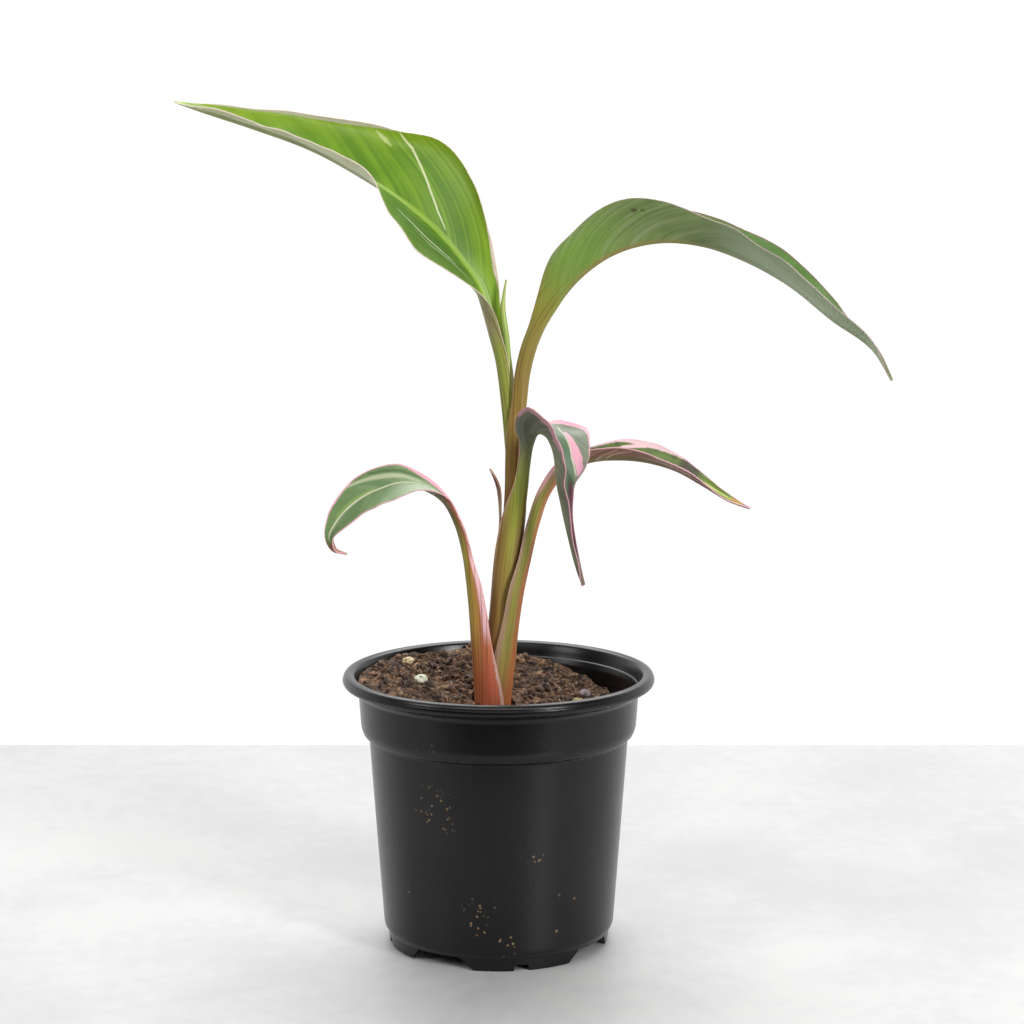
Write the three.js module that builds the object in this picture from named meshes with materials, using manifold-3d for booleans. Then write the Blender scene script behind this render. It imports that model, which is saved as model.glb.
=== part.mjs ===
// A young variegated banana plant in a 12 cm plastic nursery pot.
// Millimetres, +Z up. The plant is drawn in the pot's frame (pot axis on Z, ground at z = 0),
// and the whole is shifted at the end so that its bounding box stands centred on the origin.

import * as THREE from 'three';
import { mergeVertices } from 'three/addons/utils/BufferGeometryUtils.js';
import Module from 'manifold-3d';

const wasm = await Module();
wasm.setup();

// Driving dimensions of the pot
const RIM_RADIUS = 60.3;
const RIM_HEIGHT = 107;
const BODY_TOP_RADIUS = 50.3;
const BODY_FOOT_RADIUS = 44.8;
const LIP_WIDTH = 4.4;
const LIP_LOW = 102;
const COLLAR_RADIUS = 54.2;
const COLLAR_LOW = 82.8;
const COLLAR_HIGH = 99;
const COLLAR_TAPER = 0.9;
const WALL = 1.2;
const FOOT_RADIUS = 42.6;
const FOOT_HEIGHT = 6.8;
const FOOT_THICKNESS = 3;
const FLOOR_TOP = 8.4;
const POT_SEGMENTS = 40;

// Notches in the foot ring, a wide one and a low one, repeat round it: direction from the front
// in degrees, width at the ground, width at the top, and height
const NOTCH_REPEATS = 4;
const NOTCHES = [
  { turn: -32, width: 28.5, top: 18.5, height: 5 },
  { turn: 12, width: 6.2, top: 5, height: 2.6 },
];

// Driving dimensions of the soil and of the rootstock in it
const CLEARANCE = 0.35;
const SOIL_MID = 94.8;
const SOIL_SLOPE = 0.27;
const SOIL_RISE = 11;
const SOIL_FALL = 5;
const SOIL_RINGS = 8;
const CRUMB = 1.4;
const HOLE_RADIUS = 9.4;
const STEM_FOOT = 64;
const CORM_HEIGHT = 13;
const CORM_RADIUS = 8.2;

// Pale lumps lying in the soil: place in plan and size, and their colour
const LUMPS = [
  { name: 'perlite_lump', x: -30.3, y: 7, size: 2.6, colour: 0xb9bba2 },
  { name: 'cream_bark_chip', x: -36, y: 28, size: 2.3, colour: 0xcbb78a },
  { name: 'grey_bark_flake', x: 34, y: 20, size: 2.2, colour: 0x857c80 },
  { name: 'olive_bark_chip', x: 31, y: 9, size: 2.4, colour: 0x8a7f4c },
];

// The pseudostem's axis, which leans a little to the right: x, y, z
const STEM_AXIS = [
  [-4.6, 0, 50],
  [-4.0, 0, 70],
  [-2.2, 0, 92],
  [1.8, 0, 131],
  [5.2, 0, 170],
  [6.2, 0, 200],
  [6.4, 0, 220],
];

// Thinnest edge of a leaf, and the columns from midrib to margin on each half
const EDGE = 0.6;
const COLUMNS = [0, 0.28, 0.55, 0.8, 1];
const SECTION_STEPS = 48;
const CURL_FROM = 0.7;

const DEGREE = Math.PI / 180;

function clamp01(value) {
  return Math.min(1, Math.max(0, value));
}

function smoothStep(value) {
  const t = clamp01(value);
  return t * t * (3 - 2 * t);
}

// A smooth curve through rows of numbers, read at a place between 0 and 1 along its length.
// The first three numbers of each row are a point in space.
function rowCurve(rows) {
  const knots = [0];
  for (let i = 1; i < rows.length; i++) {
    const step = Math.hypot(
      rows[i][0] - rows[i - 1][0],
      rows[i][1] - rows[i - 1][1],
      rows[i][2] - rows[i - 1][2],
    );
    knots.push(knots[i - 1] + step);
  }
  const length = knots[knots.length - 1];

  function slope(i, k) {
    const a = Math.max(0, i - 1);
    const b = Math.min(rows.length - 1, i + 1);
    if (a === i || b === i) return (rows[b][k] - rows[a][k]) / (knots[b] - knots[a]);
    const before = (rows[i][k] - rows[a][k]) / (knots[i] - knots[a]);
    const after = (rows[b][k] - rows[i][k]) / (knots[b] - knots[i]);
    const weight = (knots[i] - knots[a]) / (knots[b] - knots[a]);
    return before * (1 - weight) + after * weight;
  }

  function at(place) {
    const x = clamp01(place) * length;
    let i = 0;
    while (i < rows.length - 2 && x > knots[i + 1]) i++;
    const span = knots[i + 1] - knots[i];
    const t = (x - knots[i]) / span;
    const h00 = (1 + 2 * t) * (1 - t) * (1 - t);
    const h10 = t * (1 - t) * (1 - t);
    const h01 = t * t * (3 - 2 * t);
    const h11 = t * t * (t - 1);
    return rows[i].map((value, k) => (
      h00 * value + h10 * span * slope(i, k) + h01 * rows[i + 1][k] + h11 * span * slope(i + 1, k)
    ));
  }

  return { at, length };
}

// The stem axis at a height
function stemAxisAt(height) {
  const heights = STEM_AXIS.map((row) => row[2]);
  let i = 0;
  while (i < heights.length - 2 && height > heights[i + 1]) i++;
  const t = (height - heights[i]) / (heights[i + 1] - heights[i]);
  return STEM_AXIS[i][0] + t * (STEM_AXIS[i + 1][0] - STEM_AXIS[i][0]);
}

// A closed geometry from a list of points and a list of triangles
function closedGeometry(points, triangles) {
  const geometry = new THREE.BufferGeometry();
  geometry.setAttribute('position', new THREE.Float32BufferAttribute(points.flat(), 3));
  geometry.setIndex(triangles.flat());
  geometry.computeVertexNormals();
  return geometry;
}

// A value between the pairs [distance along, value] of a table; constant beyond its ends
function readTable(table, along, missing) {
  if (!table) return missing;
  if (along <= table[0][0]) return table[0][1];
  for (let i = 1; i < table.length; i++) {
    const [low, first] = table[i - 1];
    const [high, second] = table[i];
    if (along < high) return first + (second - first) * smoothStep((along - low) / (high - low));
  }
  return table[table.length - 1][1];
}

// One half of a leaf's cross-section, from midrib to margin: sideways and upward places, and
// the angle of the surface, at each column. fold is the angle at the midrib, wrap at the margin,
// and curl bends the outer part of the half further over.
function halfSection(half, fold, wrap, curl) {
  const places = [];
  let side = 0;
  let rise = 0;
  for (let i = 0; i <= SECTION_STEPS; i++) {
    const u = i / SECTION_STEPS;
    const angle = fold + (wrap - fold) * u + curl * smoothStep((u - CURL_FROM) / (1 - CURL_FROM));
    if (u >= COLUMNS[places.length] - 0.5 / SECTION_STEPS) places.push({ side, rise, angle });
    side += Math.cos(angle) * half / SECTION_STEPS;
    rise += Math.sin(angle) * half / SECTION_STEPS;
  }
  return places;
}

// Width and cross-section of one half of a leaf at a distance along it, from the leaf's row
// there and the tables of that half
function leafHalf(tables, row, distance) {
  const [, , , half, fold, wrap] = row;
  const width = half * readTable(tables.share, distance, 1);
  const turn = readTable(tables.turn, distance, 0);
  const low = (fold + turn) * DEGREE;
  const high = (wrap + turn + readTable(tables.wrap, distance, 0)) * DEGREE;
  const curl = readTable(tables.curl, distance, 0) * DEGREE;
  return { width, places: halfSection(width, low, high, curl) };
}

// A leaf is lofted along its midrib as one closed solid: sheath, petiole, midrib and blade.
// Each row of the leaf holds: x, y, z of the midrib's upper face, half width, fold at the
// midrib, wrap at the margin, roll about the midrib and midrib thickness (angles in degrees).
// heading is the direction in plan that the leaf grows towards. The tables of a leaf change its
// left and right halves apart from each other, by distance along the leaf in millimetres:
// share of the half width, turn added to fold and wrap, wrap added at the margin, and curl.
function leafGeometry(leaf) {
  const curve = rowCurve(leaf.rows);
  const heading = leaf.heading * DEGREE;
  const across = new THREE.Vector3(Math.sin(heading), -Math.cos(heading), 0);
  const columns = COLUMNS.length * 2 - 1;
  const points = [];
  const triangles = [];
  const rings = leafRings(leaf, curve);

  for (const place of rings) {
    const row = curve.at(place);
    const [x, y, z, half, , , roll, rib] = row;
    const ahead = curve.at(Math.min(1, place + 0.002));
    const behind = curve.at(Math.max(0, place - 0.002));
    const along = new THREE.Vector3(
      ahead[0] - behind[0], ahead[1] - behind[1], ahead[2] - behind[2],
    ).normalize();
    const face = new THREE.Vector3().crossVectors(across, along).normalize();
    face.applyAxisAngle(along, roll * DEGREE);
    const side = new THREE.Vector3().crossVectors(along, face);
    const centre = new THREE.Vector3(x, y, z);
    const distance = place * curve.length;
    const blade = clamp01((distance - leaf.bladeFrom) / 20);
    const left = leafHalf(leaf.left ?? {}, row, distance);
    const right = leafHalf(leaf.right ?? {}, row, distance);
    const upper = [];
    const lower = [];
    for (let c = 0; c < columns; c++) {
      const sign = c < COLUMNS.length - 1 ? -1 : 1;
      const index = Math.abs(c - (COLUMNS.length - 1));
      const u = COLUMNS[index];
      const { width, places } = sign < 0 ? left : right;
      const section = places[index];
      const tilt = index === 0 ? 0 : section.angle;
      const normal = face.clone().multiplyScalar(Math.cos(tilt))
        .addScaledVector(side, -sign * Math.sin(tilt));
      const phase = distance / leaf.waveLength + (sign < 0 ? 0 : 0.37);
      const wave = leaf.wave * blade * u * u * Math.sin(2 * Math.PI * phase)
        * clamp01(half / 8);
      const thickness = EDGE + (rib - EDGE) * (1 - smoothStep(u * width / (2.2 * rib)));
      const top = centre.clone()
        .addScaledVector(side, sign * section.side)
        .addScaledVector(face, section.rise)
        .addScaledVector(normal, wave);
      upper.push(top.toArray());
      lower.push(top.clone().addScaledVector(normal, -thickness).toArray());
    }
    points.push(...upper, ...lower);
  }

  // Both faces are split into triangles alike, and the margins and ends are closed
  const ring = columns * 2;
  const quad = (a, b, c, d) => triangles.push([a, b, c], [a, c, d]);
  for (let r = 0; r < rings.length - 1; r++) {
    const a = r * ring;
    const b = a + ring;
    for (let c = 0; c < columns - 1; c++) {
      quad(a + c, a + c + 1, b + c + 1, b + c);
      triangles.push([a + columns + c, b + columns + c + 1, a + columns + c + 1]);
      triangles.push([a + columns + c, b + columns + c, b + columns + c + 1]);
    }
    quad(a + columns, a, b, b + columns);
    quad(a + columns - 1, a + ring - 1, b + ring - 1, b + columns - 1);
  }
  for (let c = 0; c < columns - 1; c++) {
    quad(columns + c, columns + c + 1, c + 1, c);
    const end = (rings.length - 1) * ring;
    quad(end + c, end + c + 1, end + columns + c + 1, end + columns + c);
  }
  return closedGeometry(points, triangles);
}

// Places of the rings along a leaf: far apart on the sheath and closer on the blade
function leafRings(leaf, curve) {
  const places = [];
  let x = 0;
  while (x < curve.length - 1) {
    places.push(x / curve.length);
    const step = x < leaf.sheathTo ? leaf.sheathStep : leaf.bladeStep;
    x += step;
  }
  places.push(1);
  return places;
}

// Rows of a sheath: it wraps the stem axis at a radius, standing on the side of its heading
function sheathRows(heading, radius, bands, thickness) {
  const turn = heading * DEGREE;
  return bands.map(([height, wrap]) => [
    stemAxisAt(height) + radius * Math.cos(turn),
    radius * Math.sin(turn),
    height,
    radius * wrap * DEGREE,
    0,
    wrap,
    0,
    thickness,
  ]);
}

// The leaves, from the innermost to the outermost
const LEAVES = [
  {
    name: 'leaf_upper_left',
    colour: 0x6f9a34,
    heading: 142,
    sheathTo: 120,
    sheathStep: 15,
    bladeStep: 4.2,
    bladeFrom: 200,
    wave: 0.5,
    waveLength: 31,
    left: {
      share: [
        [120, 1], [150, 1.35], [178, 1.25], [196, 0.95], [262, 0.86], [274, 0.64], [285, 0.4],
        [294, 0.42], [304, 0.62],
      ],
      turn: [[214, 0], [232, 7], [247, 12], [264, 5], [285, 0]],
      wrap: [[120, 0], [150, 75], [178, 60], [198, 0]],
    },
    right: {
      share: [
        [170, 1], [190, 0.8], [206, 0.9], [222, 1.06], [240, 1.16], [258, 1.0], [290, 0.84],
        [310, 0.7],
      ],
      curl: [[200, 0], [220, 40], [315, 40], [330, 0]],
    },
    rows: [
      ...sheathRows(142, 1.3, [[STEM_FOOT, 165], [100, 165], [140, 160], [175, 140]], 0.9),
      [3.7, 1.1, 198, 3.1, 0, 90, 0, 1.4],
      [2.9, 1.4, 211, 3.7, 0, 95, 0, 1.8],
      [2.2, 1.8, 219, 4.0, 0, 95, 0, 2.0],
      [0.8, 2.4, 228, 4.2, 5, 85, 0, 2.0],
      [-1.6, 3.2, 237, 4.6, 8, 80, 0, 2.0],
      [-4.0, 4.2, 246, 6.2, 10, 70, -8, 2.0],
      [-7.0, 5.2, 255, 9.6, 12, 58, -16, 1.9],
      [-13.5, 6.5, 265, 15.2, 12, 45, -24, 1.8],
      [-22.5, 8.5, 275.5, 21.0, 12, 36, -28, 1.7],
      [-35.0, 11, 286, 25.5, 14, 34, -20, 1.6],
      [-49.0, 13.5, 295.0, 25.0, 18, 38, -8, 1.5],
      [-70.0, 17, 306.4, 18.5, 24, 44, -3, 1.3],
      [-95.0, 20, 315.4, 12.0, 28, 42, 0, 1.1],
      [-113.0, 22.5, 321.0, 6.0, 28, 38, 0, 0.9],
      [-124.0, 24, 324.6, 0.9, 10, 20, 0, 0.7],
    ],
  },
  {
    name: 'leaf_upper_right',
    colour: 0x7a8b4a,
    heading: -35,
    sheathTo: 120,
    sheathStep: 15,
    bladeStep: 4.2,
    bladeFrom: 200,
    wave: 0.5,
    waveLength: 37,
    left: {
      share: [
        [200, 1], [220, 0.94], [240, 0.82], [262, 0.84], [284, 1.12], [306, 1.05], [324, 0.6],
      ],
    },
    right: {
      share: [
        [202, 1], [213, 0.9], [236, 1.12], [254, 1.04], [271, 1.62], [290, 2.05], [308, 2.35],
        [324, 2.0],
      ],
    },
    rows: [
      ...sheathRows(-35, 2.9, [[STEM_FOOT, 150], [100, 150], [140, 145], [175, 125]], 0.8),
      [8.7, -1.8, 200, 6.0, 0, 99, 0, 1.1],
      [9.2, -2.0, 211, 4.6, 0, 88, 0, 1.5],
      [10.2, -2.3, 223, 4.2, 0, 88, 0, 1.9],
      [12.2, -3.0, 231.7, 4.2, 0, 95, 0, 2.0],
      [15.2, -4.3, 239.5, 4.4, 10, 85, 0, 2.0],
      [20.4, -6.6, 248.5, 7.2, 22, 75, 0, 2.0],
      [29.4, -10.6, 260.0, 13.2, 34, 68, 0, 1.8],
      [42.6, -15.2, 269.8, 18.0, 42, 66, 0, 1.7],
      [61.5, -21, 274.6, 17.2, 44, 62, 0, 1.5],
      [76.0, -25, 273.2, 14.4, 42, 56, 2, 1.4],
      [90.5, -29, 268.0, 11.4, 38, 50, 3, 1.2],
      [106.5, -33, 259.1, 8.6, 34, 46, 3, 1.0],
      [122.3, -36.5, 246.5, 5.8, 34, 46, 0, 0.9],
      [137.5, -39.5, 235.2, 3.0, 30, 40, 0, 0.8],
      [144.2, -40.5, 224.5, 0.8, 10, 20, 0, 0.7],
    ],
  },
  {
    name: 'leaf_front_drooping',
    colour: 0x6b7d55,
    heading: -52,
    sheathTo: 90,
    sheathStep: 13,
    bladeStep: 2.9,
    bladeFrom: 132,
    wave: 0.8,
    waveLength: 23,
    left: {
      share: [[132, 1], [141, 1.25], [149, 1.6], [158, 1.3], [168, 1.25], [184, 0.95]],
    },
    right: {
      share: [
        [134, 1], [145, 1.03], [149, 0.62], [154, 0.34], [159, 0.38], [167, 0.75], [177, 1.1],
        [190, 1],
      ],
    },
    rows: [
      ...sheathRows(-52, 4.8, [[STEM_FOOT, 140], [100, 135], [130, 125], [155, 114]], 0.9),
      [8.6, -4.2, 170, 7.0, 0, 95, 0, 1.3],
      [9.4, -5.2, 180, 3.9, 0, 90, 0, 1.7],
      [10.2, -7.0, 189, 2.4, 0, 85, 0, 1.8],
      [11.4, -9.6, 196.6, 3.6, 5, 66, -2, 1.8],
      [13.2, -12.6, 201.2, 8.0, 14, 52, -10, 1.7],
      [15.8, -16.6, 202.9, 10.8, 18, 44, -26, 1.6],
      [18.8, -20.4, 201.8, 12.2, 24, 46, -34, 1.5],
      [21.2, -22.9, 197.2, 12.0, 34, 52, -36, 1.4],
      [22.4, -24.4, 190.2, 9.0, 46, 62, -32, 1.3],
      [22.8, -24.8, 183.6, 5.2, 54, 70, -26, 1.2],
      [24.0, -24.4, 177, 3.8, 60, 74, -22, 1.1],
      [26.9, -24.2, 163, 2.3, 60, 70, -20, 0.9],
      [30.0, -23.2, 151, 1.5, 50, 60, -20, 0.8],
      [32.2, -22.6, 144.8, 0.8, 10, 20, 0, 0.7],
    ],
  },
  {
    name: 'leaf_right',
    colour: 0x84763f,
    heading: -12,
    sheathTo: 62,
    sheathStep: 12,
    bladeStep: 3.6,
    bladeFrom: 125,
    wave: 0.4,
    waveLength: 26,
    left: {
      share: [
        [110, 1], [126, 0.7], [138, 0.7], [150, 0.88], [160, 0.8], [168, 0.7], [178, 0.6],
        [188, 0.5], [197, 0.7],
      ],
    },
    rows: [
      ...sheathRows(-12, 6.0, [[STEM_FOOT, 120], [90, 110], [112, 95], [126, 78]], 0.9),
      [8.8, -1.9, 140, 7.6, 0, 60, 0, 1.4],
      [10.9, -2.5, 151, 5.4, 0, 62, 0, 1.6],
      [14.1, -3.4, 165, 4.6, 0, 88, 0, 1.6],
      [19.0, -4.6, 178.5, 4.8, 5, 84, 0, 1.6],
      [25.6, -6.0, 187, 5.6, 15, 72, 0, 1.7],
      [34.0, -8.0, 190.6, 7.4, 28, 58, 6, 1.6],
      [45.0, -10.4, 191.9, 8.8, 34, 54, 12, 1.5],
      [56.0, -12.4, 191.0, 9.2, 34, 50, 16, 1.3],
      [67.0, -14.2, 187.8, 8.2, 34, 48, 20, 1.1],
      [78.0, -15.8, 181.9, 5.8, 32, 44, 22, 1.0],
      [88.0, -17.0, 176.0, 3.0, 26, 38, 20, 0.8],
      [95.0, -17.6, 173.6, 0.8, 10, 20, 0, 0.7],
    ],
  },
  {
    name: 'leaf_lower_left',
    colour: 0x7c8a55,
    heading: -152,
    sheathTo: 45,
    sheathStep: 11,
    bladeStep: 3.4,
    bladeFrom: 118,
    wave: 0.3,
    waveLength: 27,
    left: {
      share: [[76, 1], [90, 0.55], [104, 0.5], [118, 1.3], [130, 1.2], [142, 1.1], [152, 0.9]],
      wrap: [[104, 0], [113, -35], [124, -15], [134, 0]],
    },
    right: {
      share: [[105, 1], [115, 0.75], [124, 0.8], [134, 1], [145, 1], [156, 0.88]],
    },
    rows: [
      ...sheathRows(-152, 7.2, [[STEM_FOOT, 110], [80, 105], [95, 95]], 0.9),
      [-8.4, -4.0, 106, 10.0, 0, 82, 0, 1.2],
      [-9.0, -4.6, 118, 7.6, 0, 80, 0, 1.5],
      [-9.6, -5.0, 131, 6.0, 0, 80, 0, 1.7],
      [-10.6, -5.2, 143, 4.5, 0, 80, 0, 1.8],
      [-12.4, -5.0, 155, 3.8, 0, 80, 0, 1.7],
      [-15.6, -4.2, 166, 3.4, 0, 80, 0, 1.6],
      [-20.4, -3.0, 174.4, 4.0, 5, 65, -15, 1.6],
      [-27.6, -1.2, 178.8, 6.0, 6, 45, -30, 1.5],
      [-36.0, 0.6, 180.2, 8.2, 6, 28, -36, 1.4],
      [-45.0, 2.0, 178.2, 8.6, 6, 26, -36, 1.2],
      [-54.0, 2.4, 173.0, 8.0, 8, 28, -36, 1.1],
      [-61.2, 1.6, 165.2, 6.0, 12, 34, -34, 1.0],
      [-64.2, 0.4, 158.6, 3.0, 20, 40, -20, 0.8],
      [-62.6, -1.2, 154.6, 2.0, 20, 40, 0, 0.8],
      [-58.4, -2.4, 153.0, 0.9, 10, 30, 0, 0.7],
    ],
  },
];

// The sheath of an older leaf whose blade has withered away: it ends in a pointed brown flap
const OLD_SHEATH = {
  name: 'old_sheath_stub',
  colour: 0x8d6a35,
  heading: 180,
  sheathTo: 100,
  sheathStep: 12,
  bladeStep: 4,
  bladeFrom: 500,
  wave: 0,
  waveLength: 30,
  rows: [
    ...sheathRows(180, 3.95, [[STEM_FOOT, 100], [100, 90], [140, 55], [158, 28]], 0.6),
    [0.8, 0, 167, 1.7, 0, 24, 0, 0.6],
    [0.5, 0, 174, 2.4, 0, 40, 0, 0.7],
    [0.1, 0, 178, 2.1, 0, 50, 0, 0.8],
    [-1.1, 0, 182, 1.4, 0, 50, 0, 0.8],
    [-3.0, 0, 186, 0.5, 0, 20, 0, 0.6],
  ],
};

// The youngest leaf is a rolled rod that rises out of the innermost petiole to a thread
const ROLL_SIDES = 8;
const ROLL_STEP = 7;
const ROLL_ROWS = [
  [stemAxisAt(STEM_FOOT), 0, STEM_FOOT, 0.9],
  [stemAxisAt(100), 0, 100, 0.9],
  [stemAxisAt(140), 0, 140, 0.9],
  [stemAxisAt(175), 0, 175, 0.9],
  [5.1, 0, 198, 1.0],
  [4.6, 0.1, 211, 1.2],
  [3.9, 0.6, 225, 1.3],
  [2.7, 1.0, 238, 1.3],
  [1.7, 1.4, 247, 1.0],
  [2.2, 1.5, 253, 0.6],
  [3.0, 1.5, 258, 0.35],
];

function rollGeometry() {
  const curve = rowCurve(ROLL_ROWS);
  const points = [];
  const triangles = [];
  const rings = Math.round(curve.length / ROLL_STEP);
  for (let r = 0; r <= rings; r++) {
    const [x, y, z, radius] = curve.at(r / rings);
    for (let i = 0; i < ROLL_SIDES; i++) {
      const turn = 2 * Math.PI * i / ROLL_SIDES;
      points.push([x + radius * Math.cos(turn), y + radius * Math.sin(turn), z]);
    }
  }
  for (let r = 0; r < rings; r++) {
    for (let i = 0; i < ROLL_SIDES; i++) {
      const a = r * ROLL_SIDES + i;
      const b = r * ROLL_SIDES + (i + 1) % ROLL_SIDES;
      triangles.push([a, b, b + ROLL_SIDES], [a, b + ROLL_SIDES, a + ROLL_SIDES]);
    }
  }
  const last = rings * ROLL_SIDES;
  for (let i = 1; i < ROLL_SIDES - 1; i++) {
    triangles.push([0, i + 1, i], [last, last + i, last + i + 1]);
  }
  return closedGeometry(points, triangles);
}

// Radius of the pot's body wall, outside, at a height
function bodyRadius(height) {
  const t = (height - FOOT_HEIGHT) / (COLLAR_LOW - FOOT_HEIGHT);
  return BODY_FOOT_RADIUS + t * (BODY_TOP_RADIUS - BODY_FOOT_RADIUS);
}

// The inside of the pot from the floor's edge to the rim: radius and height
const INSIDE = [
  [bodyRadius(FLOOR_TOP) - WALL - 1, FLOOR_TOP],
  [bodyRadius(FLOOR_TOP + 1.5) - WALL, FLOOR_TOP + 1.5],
  [bodyRadius(COLLAR_LOW) - WALL, COLLAR_LOW - 1.2],
  [COLLAR_RADIUS - COLLAR_TAPER - WALL, COLLAR_LOW + 1.2],
  [COLLAR_RADIUS - WALL, COLLAR_HIGH],
  [RIM_RADIUS - LIP_WIDTH - 0.9, RIM_HEIGHT - 3],
  [RIM_RADIUS - LIP_WIDTH, RIM_HEIGHT - 0.7],
];

// The middle of the pot's floor lies lower than its edge: radius and height of that dish
const DISH_RADIUS = 29;
const DISH_EDGE = 32.5;
const DISH_HEIGHT = 3.6;

function revolve(profile, segments) {
  const outline = profile.map(([radius, height]) => new THREE.Vector2(radius, height));
  const geometry = new THREE.LatheGeometry(outline, segments);
  geometry.rotateX(Math.PI / 2);
  return geometry;
}

function toManifold(geometry) {
  const bare = geometry.clone();
  bare.deleteAttribute('normal');
  bare.deleteAttribute('uv');
  const merged = mergeVertices(bare, 1e-4);
  const mesh = new wasm.Mesh({
    numProp: 3,
    vertProperties: new Float32Array(merged.attributes.position.array),
    triVerts: new Uint32Array(merged.index.array),
  });
  mesh.merge();
  return new wasm.Manifold(mesh);
}

function fromManifold(solid) {
  const mesh = solid.getMesh();
  const geometry = new THREE.BufferGeometry();
  geometry.setAttribute('position', new THREE.Float32BufferAttribute(mesh.vertProperties, 3));
  geometry.setIndex(Array.from(mesh.triVerts));
  geometry.computeVertexNormals();
  return geometry;
}

// One thin shell: foot ring, floor, tapered wall, collar and rolled lip, with notches in the foot
function potGeometry() {
  const footInner = FOOT_RADIUS - FOOT_THICKNESS;
  const plateBottom = FLOOR_TOP - WALL;
  const profile = [
    [0, DISH_HEIGHT],
    [DISH_RADIUS, DISH_HEIGHT],
    [DISH_EDGE, plateBottom],
    [footInner, plateBottom],
    [footInner, 0],
    [FOOT_RADIUS, 0],
    [FOOT_RADIUS + 0.8, FOOT_HEIGHT - 1.6],
    [BODY_FOOT_RADIUS - 0.3, FOOT_HEIGHT],
    [bodyRadius(FOOT_HEIGHT + 1.4), FOOT_HEIGHT + 1.4],
    [bodyRadius(COLLAR_LOW - 1), COLLAR_LOW - 1],
    [COLLAR_RADIUS - COLLAR_TAPER - 1, COLLAR_LOW + 0.4],
    [COLLAR_RADIUS - COLLAR_TAPER, COLLAR_LOW + 3],
    [COLLAR_RADIUS, COLLAR_HIGH],
    [COLLAR_RADIUS + 1.2, COLLAR_HIGH + 1.6],
    [RIM_RADIUS - 2, LIP_LOW],
    [RIM_RADIUS - 0.5, LIP_LOW + 0.6],
    [RIM_RADIUS, LIP_LOW + 1.6],
    [RIM_RADIUS, RIM_HEIGHT - 2],
    [RIM_RADIUS - 0.9, RIM_HEIGHT - 0.5],
    [RIM_RADIUS - 2.4, RIM_HEIGHT],
    ...INSIDE.slice().reverse(),
    [DISH_EDGE, FLOOR_TOP],
    [DISH_RADIUS, DISH_HEIGHT + WALL],
    [0, DISH_HEIGHT + WALL],
  ];
  let solid = toManifold(revolve(profile, POT_SEGMENTS));
  for (let i = 0; i < NOTCH_REPEATS * NOTCHES.length; i++) {
    const notch = NOTCHES[i % NOTCHES.length];
    const turn = notch.turn + 360 * Math.floor(i / NOTCHES.length) / NOTCH_REPEATS;
    const outline = new THREE.Shape();
    outline.moveTo(-notch.width / 2, -1);
    outline.lineTo(notch.width / 2, -1);
    outline.lineTo(notch.width / 2, 0);
    outline.lineTo(notch.top / 2, notch.height);
    outline.lineTo(-notch.top / 2, notch.height);
    outline.lineTo(-notch.width / 2, 0);
    outline.closePath();
    const cutter = new THREE.ExtrudeGeometry(outline, { depth: 12, bevelEnabled: false });
    cutter.rotateX(Math.PI / 2);
    cutter.translate(0, -FOOT_RADIUS + 8, 0);
    cutter.rotateZ(turn * DEGREE);
    solid = solid.subtract(toManifold(cutter));
  }
  return fromManifold(solid);
}

// A seeded random number for a pair of whole numbers, between 0 and 1
function randomAt(i, j, seed) {
  const value = Math.sin(i * 127.1 + j * 311.7 + seed * 74.7) * 43758.5453;
  return value - Math.floor(value);
}

// Height of the soil: it is banked up at the back left and falls away to the front right
function soilHeight(x, y) {
  const t = SOIL_SLOPE * (-0.7 * x + 0.71 * y);
  const limit = t > 0 ? SOIL_RISE : SOIL_FALL;
  return SOIL_MID + limit * Math.tanh(t / limit);
}

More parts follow.
